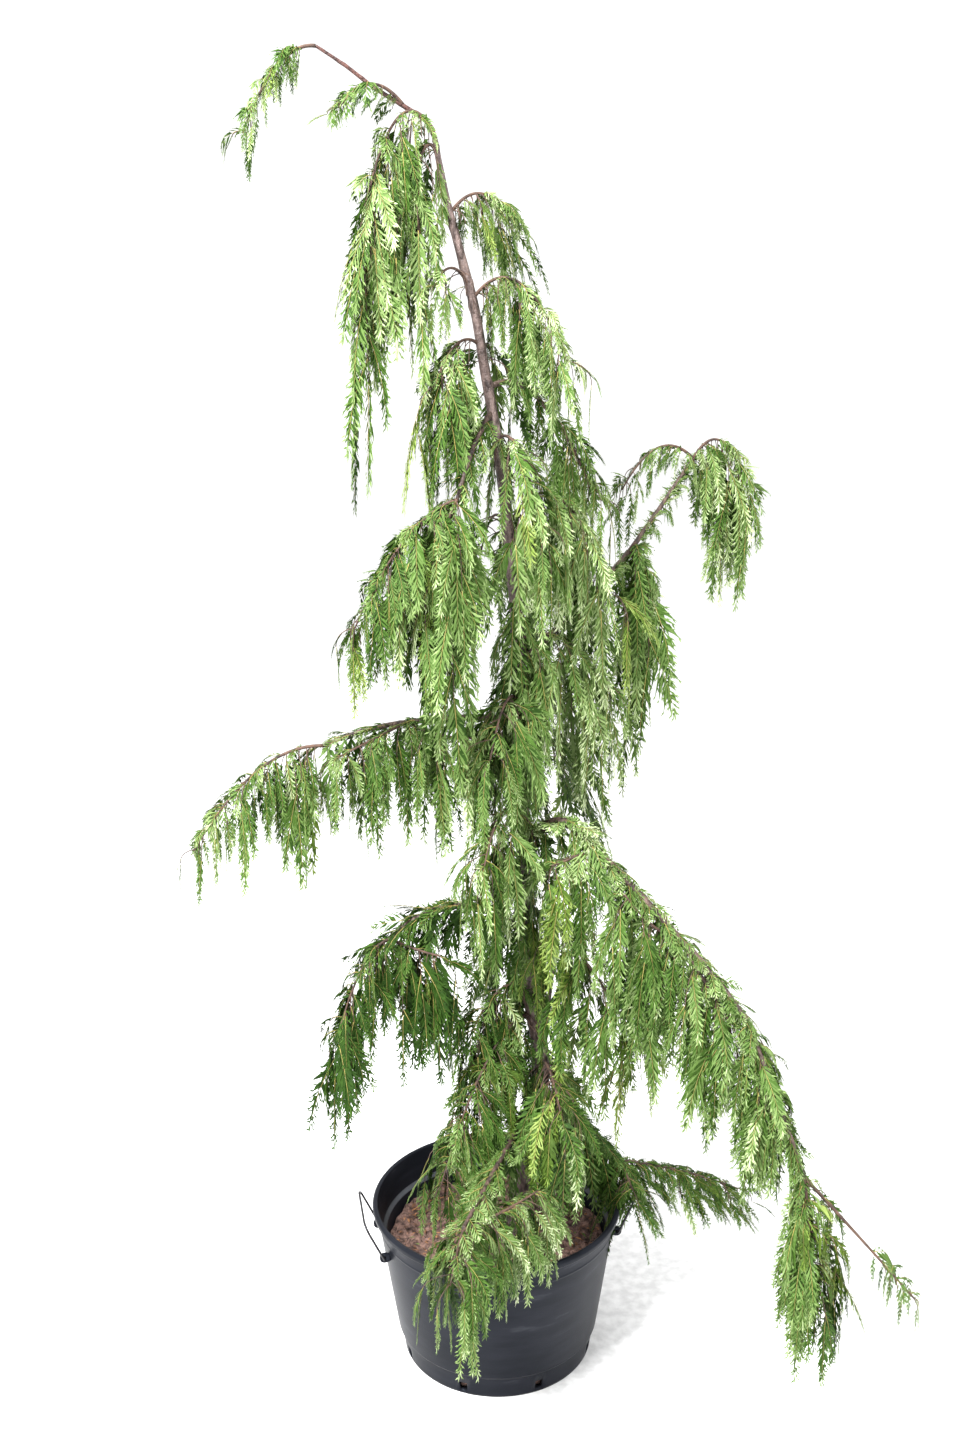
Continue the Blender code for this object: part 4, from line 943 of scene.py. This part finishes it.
def clothe(name, line):
    """Plumes that hang from a bough all along it, and short sprigs that lie over its top."""
    rng = np.random.default_rng(SEED + sum(ord(letter) * 3 for letter in name))
    length = np.linalg.norm(np.diff(line, axis=0), axis=1).sum()
    first, last = CLOTHED[name]
    # The bough's tone offset: its own tone plus painted shade and painted light
    light = TONE_AND_PAINTED_LIGHT.get(name, 0.0)
    count = int(length / BOUGH_GAP * THICK.get(name, 1.0))
    rows = []
    bunches = max(1, round(length / CLUMP_GAP))
    phase = rng.uniform(0.0, 1.0)
    for index in range(count):
        part, shorter = bunched(0.06 + 0.94 * (index + rng.uniform(0.1, 0.9)) / count, bunches, phase)
        root, tangent = point_on(line, part)
        level = unit(np.cross(tangent, UP))
        side = 1 if index % 2 else -1
        reach = (first + (last - first) * part) * rng.uniform(0.60, 1.05) * shorter
        along = DOWN + level * side * rng.uniform(0.1, 0.7) + tangent * rng.uniform(0.0, 0.8)
        tone = 2.25 + light + rng.uniform(-0.8, 0.8)
        rows.append(spray(rng, root, along, level, reach, rng.uniform(0.6, 0.95), tone))
        crested = name in CREST and part < CREST_END.get(name, 1.0)
        # Sprigs over the bough are painted lighter than the hanging plumes: painted light on its top
        lengths, lighter = CREST[name] if crested else (SPRIG_LENGTH, 0.2)
        for turn in ((-1, 1, 0.3) if crested else (-1, 1) if index % 2 else (1,)):
            over = tangent * rng.uniform(0.4, 1.2) + level * turn * rng.uniform(0.1, 0.8) + UP * rng.uniform(0.0, 0.4)
            rows.append(spray(rng, root, over, UP, rng.uniform(*lengths), rng.uniform(0.3, 0.9),
                              2.3 + lighter + light + rng.uniform(-0.9, 0.9), small=True))
    return rows


def clothe_trunk(path):
    """Sprays that hang straight from the trunk in its leafy stretches, turn by turn all round it."""
    rng = np.random.default_rng(SEED + 70)
    rows = []
    for low, high, count in TRUNK_SPRAYS:
        for index in range(count):
            height = low + (high - low) * (index + rng.uniform(0.0, 1.0)) / count
            away = heading_vector(index * GOLDEN_ANGLE + rng.uniform(-20.0, 20.0))
            root = on_trunk(path, height) + away * 0.006
            along = away * rng.uniform(0.4, 0.9) + DOWN
            tone = 2.2 + rng.uniform(-1.0, 1.0)
            rows.append(spray(rng, root, along, away, rng.uniform(*TRUNK_SPRAY_LENGTH), rng.uniform(0.7, 1.1), tone))
    return [row for row in rows if not covers_trunk(row, path)]


def foliage_pieces(path, tips, lines, greens, twig, axis):
    """Every zone's sprays, in pieces under PIECE_LIMIT faces, and its twigs."""
    shapes = len(PLUME_SHAPES)
    kinds = [plume(np.random.default_rng(SEED + 500 + kind), *PLUME_SHAPES[kind % shapes], 1.0, OPENINGS[kind // shapes])
             for kind in range(PLUME_KINDS)]
    kinds += [plume(np.random.default_rng(SEED + 600 + kind), SPRIG_PAIRS, SPRIG_HALF_WIDTH, SPRIG_CORD, 1.3)
              for kind in range(SPRIG_KINDS)]
    plume_axis = axis_strip(1.0)
    sprig_axis = axis_strip(SPRIG_AXIS)
    masses = {mass.name: mass for mass in MASSES}
    total = 0
    hung_count = 0
    for zone, names in ZONES.items():
        twigs = []
        axes = []
        batches = []
        held = 0
        for name in names:
            mass = masses[name]
            start = on_trunk(path, mass.height) if mass.on == "trunk" else tips[mass.on]
            branches, rows = grow(mass, start, path)
            twigs += branches
            size = sum(len(kinds[row.kind][1]) for row in rows)
            if not batches or held + size > PIECE_LIMIT:
                batches.append([[], []])
                held = 0
            batches[-1][0].append(name)
            batches[-1][1].extend(rows)
            held += size
        for bough in ZONE_BOUGHS.get(zone, []):
            rows = clothe_trunk(path) if bough == "trunk" else clothe(bough, lines[bough])
            size = sum(len(kinds[row.kind][1]) for row in rows)
            if held + size > PIECE_LIMIT:
                batches.append([[], []])
                held = 0
            batches[-1][1].extend(rows)
            held += size
        for number, (nodes, rows) in enumerate(batches):
            verts, faces, slots = hang_sprays(kinds, rows, len(greens) - MOSS_SHADES)
            total += len(faces)
            hung_count += len(rows)
            piece = mesh_piece(f"{zone}_sprays_{number + 1}", verts, faces, greens, slots)
            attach(piece, "root")
            if nodes:
                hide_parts(*nodes)
            axes.append(hung(*plume_axis, [row for row in rows if row.kind < PLUME_KINDS]))
            axes.append(hung(*sprig_axis, [row for row in rows if row.kind >= PLUME_KINDS and row.length > 0.045]))
        verts, faces = joined(twigs + axes)
        total += len(faces)
        slots = np.arange(len(faces)) >= sum(len(part[1]) for part in twigs)
        piece = mesh_piece(f"{zone}_twigs", verts, faces, [twig, axis], slots, smooth=True)
        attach(piece, "root")
    print("foliage triangles", total, "sprays", hung_count, "per plume", len(kinds[0][1]), len(kinds[-1][1]))


def wall_slope():
    return (RIM_RADIUS - LIP_OUT - BASE_RADIUS) / POT_HEIGHT


def outer_radius(height):
    return BASE_RADIUS + wall_slope() * height


def turned(profile, sides, name, materials):
    """Surface of revolution: (r(t)*cos(a), r(t)*sin(a), z(t)), closed on the axis at both ends."""
    profile = np.asarray(profile, dtype=float)
    angle = math.tau * np.arange(sides) / sides
    body = profile[1:-1]
    ring = np.stack([body[:, :1] * np.cos(angle), body[:, :1] * np.sin(angle),
                     body[:, 1:] * np.ones(sides)], -1)
    verts = np.vstack([ring.reshape(-1, 3), [(0.0, 0.0, profile[0][1])], [(0.0, 0.0, profile[-1][1])]])
    i = np.arange(len(body) - 1)[:, None] * sides
    j = np.arange(sides)[None]
    after = (j + 1) % sides
    a, b, c, d = (i + j).ravel(), (i + after).ravel(), (i + sides + after).ravel(), (i + sides + j).ravel()
    j, after = j.ravel(), after.ravel()
    first = len(body) * sides
    top = (len(body) - 1) * sides
    faces = np.vstack([np.stack([a, b, c], 1), np.stack([a, c, d], 1),
                       np.stack([after, j, np.full(sides, first)], 1),
                       np.stack([top + j, top + after, np.full(sides, first + 1)], 1)])
    return mesh_piece(name, verts, faces, materials, smooth=True)


def bent(points, steps=3):
    """The profile with its corners rounded, all but the first and last inner points: each is cut by a short arc."""
    rows = [points[0], points[1]]
    for before, here, after in zip(points[1:-3], points[2:-2], points[3:-1]):
        before, here, after = (np.array(p, dtype=float) for p in (before, here, after))
        size = min(0.0012, 0.4 * np.linalg.norm(before - here), 0.4 * np.linalg.norm(after - here))
        start = here + unit(before - here) * size
        end = here + unit(after - here) * size
        for t in np.linspace(0.0, 1.0, steps):
            rows.append(tuple((1 - t) ** 2 * start + 2 * t * (1 - t) * here + t ** 2 * end))
    return rows + [points[-2], points[-1]]


def pot_profile():
    bead = POT_HEIGHT - BEAD_DROP
    lip_low = POT_HEIGHT - LIP_DEPTH
    return [
        (0.0, 0.0),
        (BASE_RADIUS - FOOT_INSET, 0.0),
        (outer_radius(FOOT_HEIGHT) - FOOT_INSET, FOOT_HEIGHT),
        (outer_radius(FOOT_HEIGHT + 0.006), FOOT_HEIGHT + 0.006),
        (outer_radius(bead - 0.003), bead - 0.003),
        (outer_radius(bead) + BEAD_OUT, bead),
        (outer_radius(bead + 0.003), bead + 0.003),
        (outer_radius(lip_low), lip_low),
        (RIM_RADIUS - 0.001, lip_low + 0.001),
        (RIM_RADIUS, POT_HEIGHT - 0.004),
        (RIM_RADIUS - 0.003, POT_HEIGHT),
        (RIM_RADIUS - 0.009, POT_HEIGHT - 0.001),
        (outer_radius(LEDGE_HEIGHT + 0.004) - WALL, LEDGE_HEIGHT + 0.004),
        (outer_radius(LEDGE_HEIGHT) - WALL - LEDGE_IN, LEDGE_HEIGHT),
        (outer_radius(FOOT_HEIGHT) - WALL - LEDGE_IN, FOOT_HEIGHT),
        (BASE_RADIUS - FOOT_INSET - WALL - LEDGE_IN, FLOOR),
        (0.0, FLOOR),
    ]


def with_row(profile, height, start, stop):
    """The profile with one more point at a height on its straight run from `start` to `stop`."""
    for index in range(len(profile) - 1):
        low, high = profile[index], profile[index + 1]
        if start <= index < stop and (low[1] - height) * (high[1] - height) < 0:
            part = (height - low[1]) / (high[1] - low[1])
            row = (low[0] + (high[0] - low[0]) * part, height)
            return profile[:index + 1] + [row] + profile[index + 1:], index + 1
    raise ValueError("no such height on the profile")


def quads(a, b, c, d):
    """Two triangles for each four corners."""
    a, b, c, d = (np.ravel(corner) for corner in (a, b, c, d))
    return np.vstack([np.stack([a, b, c], 1), np.stack([a, c, d], 1)])


def slotted_shell():
    """The pot's wall turned about its axis, with upright slots cut through its foot.

    Columns stand at even angles from the first slot's edge. The strips of wall between the
    slots' heights are left out inside and outside there, and each slot is walled round.
    """
    profile = bent(pot_profile())
    half = len(profile) // 2
    profile, low_out = with_row(profile, FLOOR, 0, half)
    profile, high_out = with_row(profile, FLOOR + SLOT_HEIGHT, low_out, half)
    half = len(profile) // 2
    profile, high_in = with_row(profile, FLOOR + SLOT_HEIGHT, half, len(profile))
    profile, low_in = with_row(profile, FLOOR + 0.0015, high_in, len(profile))
    sides = POT_SIDES
    body = np.array(profile[1:-1])
    low_out, high_out, high_in, low_in = (row - 1 for row in (low_out, high_out, high_in, low_in))
    turn = math.radians(SLOT_TURN) - math.tau * SLOT_COLUMNS / 2 / sides
    angle = turn + math.tau * np.arange(sides) / sides
    ring = np.stack([body[:, :1] * np.cos(angle), body[:, :1] * np.sin(angle), body[:, 1:] * np.ones(sides)], -1)
    verts = np.vstack([ring.reshape(-1, 3), [(0.0, 0.0, profile[0][1])], [(0.0, 0.0, profile[-1][1])]])
    rows = np.arange(len(body) - 1)[:, None]
    columns = np.arange(sides)[None]
    cut = (columns % (sides // SLOT_COUNT) < SLOT_COLUMNS) & ((rows == low_out) | (rows == high_in))
    i = (rows + 0 * columns)[~cut] * sides
    j = (columns + 0 * rows)[~cut]
    after = (j + 1) % sides
    parts = [quads(i + j, i + after, i + sides + after, i + sides + j)]
    j = np.arange(sides)
    after = (j + 1) % sides
    first = len(body) * sides
    top = (len(body) - 1) * sides
    parts.append(np.stack([after, j, np.full(sides, first)], 1))
    parts.append(np.stack([top + j, top + after, np.full(sides, first + 1)], 1))
    near = np.arange(SLOT_COUNT) * (sides // SLOT_COUNT)
    far = near + SLOT_COLUMNS
    lo, ho, hi, li = (row * sides for row in (low_out, high_out, high_in, low_in))
    for step in range(SLOT_COLUMNS):
        c, d = near + step, near + step + 1
        parts.append(quads(ho + c, hi + c, hi + d, ho + d))
        parts.append(quads(lo + c, lo + d, li + d, li + c))
    parts.append(quads(lo + near, li + near, hi + near, ho + near))
    parts.append(quads(lo + far, ho + far, hi + far, li + far))
    return verts, np.vstack(parts)


def lug_arrays(heading, axis):
    """An eye on the wall: a short ring round the hinge axis, drawn out to the wall at its back."""
    middle = heading_vector(heading) * (outer_radius(LUG_HEIGHT) + LUG_STAND) + UP * LUG_HEIGHT
    out = np.cross(axis, UP)
    out = out if np.dot(out, middle) > 0 else -out
    angle = math.tau * (np.arange(LUG_SIDES) + 0.5) / LUG_SIDES
    verts = []
    for end in (-0.5, 0.5):
        for ring in (LUG_OUTER, LUG_HOLE):
            reach = np.cos(angle) * ring
            if ring == LUG_OUTER:
                reach = np.where(reach < 0, reach * LUG_ROOT, reach)
            verts.append(middle + axis * LUG_LENGTH * end + reach[:, None] * out + (np.sin(angle) * ring)[:, None] * UP)
    j = np.arange(LUG_SIDES)
    after = (j + 1) % LUG_SIDES
    n = LUG_SIDES
    faces = np.vstack([quads(j, after, n + after, n + j), quads(2 * n + j, 3 * n + j, 3 * n + after, 2 * n + after),
                       quads(j, 2 * n + j, 2 * n + after, after), quads(n + j, n + after, 3 * n + after, 3 * n + j)])
    if np.dot(np.cross(out, UP), axis) > 0:
        return np.vstack(verts), faces[:, ::-1]
    return np.vstack(verts), faces


def pot_piece(material, ledge_reflection):
    parts = [slotted_shell()]
    for heading in HANDLE_HEADINGS.values():
        axis = heading_vector(heading + 90.0)
        parts += [lug_arrays(heading + side * LUG_HALF_ANGLE, axis) for side in (-1, 1)]
    verts, faces = joined(parts)
    centre = verts[faces].mean(axis=1)
    inside = np.hypot(centre[:, 0], centre[:, 1]) < outer_radius(centre[:, 2]) - WALL / 2
    # The inner ledge's faces get the second material, a lighter blue-grey: a painted reflection of the bright
    # surroundings
    ledge = inside & (np.abs(centre[:, 2] - LEDGE_HEIGHT - 0.002) < 0.003)
    piece = mesh_piece("pot_shell", verts, faces, [material, ledge_reflection], ledge, smooth=True)
    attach(piece, "root")
    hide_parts("pot")


def soil_piece(material):
    """Soil from the pot's floor to a lumpy top: z = top + coarse + fine noise on a polar grid."""
    rng = np.random.default_rng(SEED + 7)
    sides = 180
    rings = 70
    radius = outer_radius(SOIL_TOP) - WALL - LEDGE_IN - 0.0012
    part = np.linspace(0.985, 0.0, rings, endpoint=False)
    angle = math.tau * np.arange(sides) / sides
    lumps = 0.0062 * soft_noise(rng, rings, sides, 8, 22) + 0.0048 * soft_noise(rng, rings, sides, 30, 90)
    z = SOIL_TOP - 0.004 + lumps
    x = radius * part[:, None] * np.cos(angle)[None]
    y = radius * part[:, None] * np.sin(angle)[None]
    foot = np.array(TRUNK[0][0][:2])
    away = np.hypot(x - foot[0], y - foot[1])
    z = np.where(away < 0.06, SOIL_TOP + (z - SOIL_TOP) * away / 0.06, z)
    low_radius = outer_radius(FOOT_HEIGHT) - WALL - LEDGE_IN - 0.0012
    floor_radius = BASE_RADIUS - FOOT_INSET - WALL - LEDGE_IN - 0.0012
    skirt = [np.stack([r * np.cos(angle), r * np.sin(angle), np.full(sides, h)], -1)
             for r, h in ((floor_radius, FLOOR + 0.0003), (low_radius, FOOT_HEIGHT))]
    grid = np.concatenate([np.array(skirt), np.stack([x, y, z], -1)])
    rows = len(grid)
    verts = np.vstack([grid.reshape(-1, 3), [(0.0, 0.0, FLOOR + 0.0003)], [(0.0, 0.0, SOIL_TOP - 0.004)]])
    i = np.arange(rows - 1)[:, None] * sides
    j = np.arange(sides)[None]
    after = (j + 1) % sides
    a, b, c, d = (i + j).ravel(), (i + after).ravel(), (i + sides + after).ravel(), (i + sides + j).ravel()
    j, after = j.ravel(), after.ravel()
    first = rows * sides
    top = (rows - 1) * sides
    faces = np.vstack([np.stack([a, b, c], 1), np.stack([a, c, d], 1),
                       np.stack([after, j, np.full(sides, first)], 1),
                       np.stack([top + j, top + after, np.full(sides, first + 1)], 1)])
    piece = mesh_piece("soil_surface", verts, faces, [material], smooth=True)
    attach(piece, "root")
    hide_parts("soil")


def litter_piece(materials):
    """Fallen scraps on the soil: closed kites that lie nearly flat, each kind its own shade."""
    rng = np.random.default_rng(SEED + 8)
    radius = (outer_radius(SOIL_TOP) - WALL - LEDGE_IN) * 0.95 * np.sqrt(rng.uniform(0.02, 1.0, LITTER))
    turn = rng.uniform(0.0, math.tau, LITTER)
    centre = np.stack([radius * np.cos(turn), radius * np.sin(turn),
                       SOIL_TOP + rng.uniform(-0.004, 0.004, LITTER)], 1)
    way = rng.uniform(0.0, math.tau, LITTER)
    along = np.stack([np.cos(way), np.sin(way), rng.uniform(-0.3, 0.3, LITTER)], 1)
    cross = np.stack([-np.sin(way), np.cos(way), rng.uniform(-0.4, 0.4, LITTER)], 1)
    length = rng.uniform(*LITTER_LENGTH, LITTER)[:, None]
    width = length * rng.uniform(0.12, 0.40, LITTER)[:, None]
    lift = np.array([0.0, 0.0, 0.0012])
    verts = np.stack([centre - along * length, centre + along * length, centre + cross * width + lift,
                      centre - cross * width + lift], 1)
    faces = 4 * np.arange(LITTER)[:, None, None] + np.array([(0, 1, 2), (0, 3, 1), (2, 3, 0), (2, 1, 3)])[None]
    slots = np.repeat(rng.choice(len(materials), LITTER, p=LITTER_SHARES), 4)
    piece = mesh_piece("soil_litter", verts.reshape(-1, 3), faces.reshape(-1, 3), materials, slots)
    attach(piece, "root")
    points = smooth_path(FALLEN_TWIG, 16)
    verts, faces = tube_arrays(points, np.linspace(*FALLEN_TWIG_RADII, 16), 6)
    piece = mesh_piece("fallen_twig", verts, faces, [materials[2]], smooth=True)
    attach(piece, "root")


def handle_piece(name, material):
    """A wire loop: a path of straight runs and quarter turns, carried by a round section."""
    heading = HANDLE_HEADINGS[name]
    axis = heading_vector(heading + 90.0)
    out = heading_vector(heading)
    reach = outer_radius(LUG_HEIGHT) + LUG_STAND
    middle = out * reach * math.cos(math.radians(LUG_HALF_ANGLE)) + UP * LUG_HEIGHT
    half = reach * math.sin(math.radians(LUG_HALF_ANGLE))
    lean = math.radians(HANDLE_LEAN)
    along = out * math.sin(lean) + UP * math.cos(lean)
    width = half + LUG_LENGTH / 2 + 0.006
    outline = [(half - LUG_LENGTH / 2 - 0.001, 0.0)]
    for step in range(7):
        angle = math.radians(15.0 * step)
        outline.append((width - 0.004 * (1 - math.sin(angle)), 0.004 * (1 - math.cos(angle))))
    for step in range(10):
        angle = math.radians(10.0 * step)
        outline.append((width - HANDLE_CORNER * (1 - math.cos(angle)),
                        HANDLE_LENGTH - HANDLE_CORNER * (1 - math.sin(angle))))
    outline = np.array([(-a, b) for a, b in outline] + [(a, b) for a, b in reversed(outline)])
    points = middle + axis * outline[:, :1] + along * outline[:, 1:]
    verts, faces = tube_arrays(points, np.full(len(points), WIRE_RADIUS), 14)
    piece = mesh_piece(name + "_wire", verts, faces, [material], smooth=True)
    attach(piece, "root")
    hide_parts(name)


def stage():
    """A plain pale floor, soft light and the camera."""
    size = 30.0
    floor = mesh_piece("floor", [(-size, -size, 0), (size, -size, 0), (size, size, 0), (-size, size, 0)],
                       [(0, 1, 2, 3)], [plain_material("floor", (0.90, 0.90, 0.90), 0.9)])
    world = bpy.data.worlds.new("studio")
    world.use_nodes = True
    world.node_tree.nodes["Background"].inputs["Color"].default_value = (1.0, 1.0, 1.0, 1.0)
    world.node_tree.nodes["Background"].inputs["Strength"].default_value = 1.25
    bpy.context.scene.world = world
    bpy.context.scene.view_settings.view_transform = "Standard"
    for name, place, power, size in (("key", (-1.6, -2.2, 4.6), 560.0, 1.2), ("fill", (-3.0, -2.6, 2.4), 60.0, 2.6),
                                      ("side", (2.8, -2.4, 2.6), 90.0, 2.0)):
        light = bpy.data.lights.new(name, "AREA")
        light.energy = power
        light.size = size
        lamp = bpy.data.objects.new(name, light)
        bpy.context.scene.collection.objects.link(lamp)
        toward = np.array([0.0, 0.0, 1.1]) - np.array(place)
        lamp.location = place
        lamp.rotation_mode = "QUATERNION"
        from_down = Matrix(((1, 0, 0), (0, 1, 0), (0, 0, 1)))
        lamp.rotation_quaternion = (from_down @ to_track(toward)).to_quaternion()
    camera_data = bpy.data.cameras.new("camera")
    camera_data.lens = CAMERA_LENS
    camera_data.sensor_width = 36.0
    camera = bpy.data.objects.new("camera", camera_data)
    bpy.context.scene.collection.objects.link(camera)
    pitch = math.radians(CAMERA_PITCH)
    roll = math.radians(CAMERA_ROLL)
    right = np.array([1.0, 0.0, 0.0])
    top = np.array([0.0, math.sin(pitch), math.cos(pitch)])
    ahead = np.array([0.0, math.cos(pitch), -math.sin(pitch)])
    turned_right = math.cos(roll) * right - math.sin(roll) * top
    turned_top = math.sin(roll) * right + math.cos(roll) * top
    columns = np.stack([turned_right, turned_top, -ahead], 1)
    matrix = np.eye(4)
    matrix[:3, :3] = columns
    matrix[:3, 3] = CAMERA_PLACE
    camera.matrix_world = Matrix(matrix.tolist())
    bpy.context.scene.camera = camera


def to_track(toward):
    """The turn that points a lamp's -Z along a direction."""
    back = -toward / np.linalg.norm(toward)
    right = np.cross(UP, back)
    right = right / np.linalg.norm(right)
    top = np.cross(back, right)
    return Matrix(np.stack([right, top, back], 1).tolist())


def main():
    stage()
    bark = bark_material("bark", (0.026, 0.015, 0.013), (0.218, 0.156, 0.140))
    bough_bark = bark_material("bough_bark", (0.018, 0.010, 0.008), (0.112, 0.070, 0.052))
    twig = twig_material()
    # Greens from deep to pale: the deep ones also serve the painted shade kites and the shaded masses, and the palest
    # is painted highlight
    greens = [
        leaf_green("green_deep", (0.012, 0.035, 0.003), (0.022, 0.056, 0.005)),
        leaf_green("green_dark", (0.034, 0.079, 0.009), (0.054, 0.111, 0.017)),
        leaf_green("green_mid", (0.070, 0.126, 0.026), (0.106, 0.173, 0.045)),
        leaf_green("green_fresh", (0.136, 0.207, 0.062), (0.206, 0.284, 0.106)),
        leaf_green("green_light", (0.290, 0.370, 0.170), (0.418, 0.492, 0.274)),
        leaf_green("green_bleached", (0.46, 0.53, 0.32), (0.64, 0.69, 0.47)),
        leaf_green("moss_dark", (0.034, 0.066, 0.007), (0.052, 0.094, 0.011)),
        leaf_green("moss_mid", (0.072, 0.124, 0.015), (0.108, 0.170, 0.025)),
        leaf_green("moss_light", (0.150, 0.215, 0.040), (0.235, 0.305, 0.085)),
    ]
    path = trunk_piece(bark, bark_material("young_bark", (0.030, 0.012, 0.010), (0.115, 0.048, 0.038)))
    thin_stem_piece(bark)
    tips, lines = bough_pieces(path, bough_bark)
    foliage_pieces(path, tips, lines, greens, twig, spray_axis_material())
    # The ledge's lighter blue-grey material is a painted reflection
    pot_piece(pot_material(), plain_material("pot_ledge", (0.055, 0.060, 0.070), 0.6))
    soil_piece(soil_material())
    litter_piece([plain_material("litter_brown", (0.16, 0.07, 0.035), 0.9),
                  plain_material("litter_dark", (0.045, 0.022, 0.015), 0.9),
                  plain_material("litter_orange", (0.36, 0.17, 0.07), 0.85),
                  plain_material("litter_moss", (0.10, 0.15, 0.03), 0.9)])
    wire = wire_material()
    for name in HANDLE_HEADINGS:
        handle_piece(name, wire)


main()
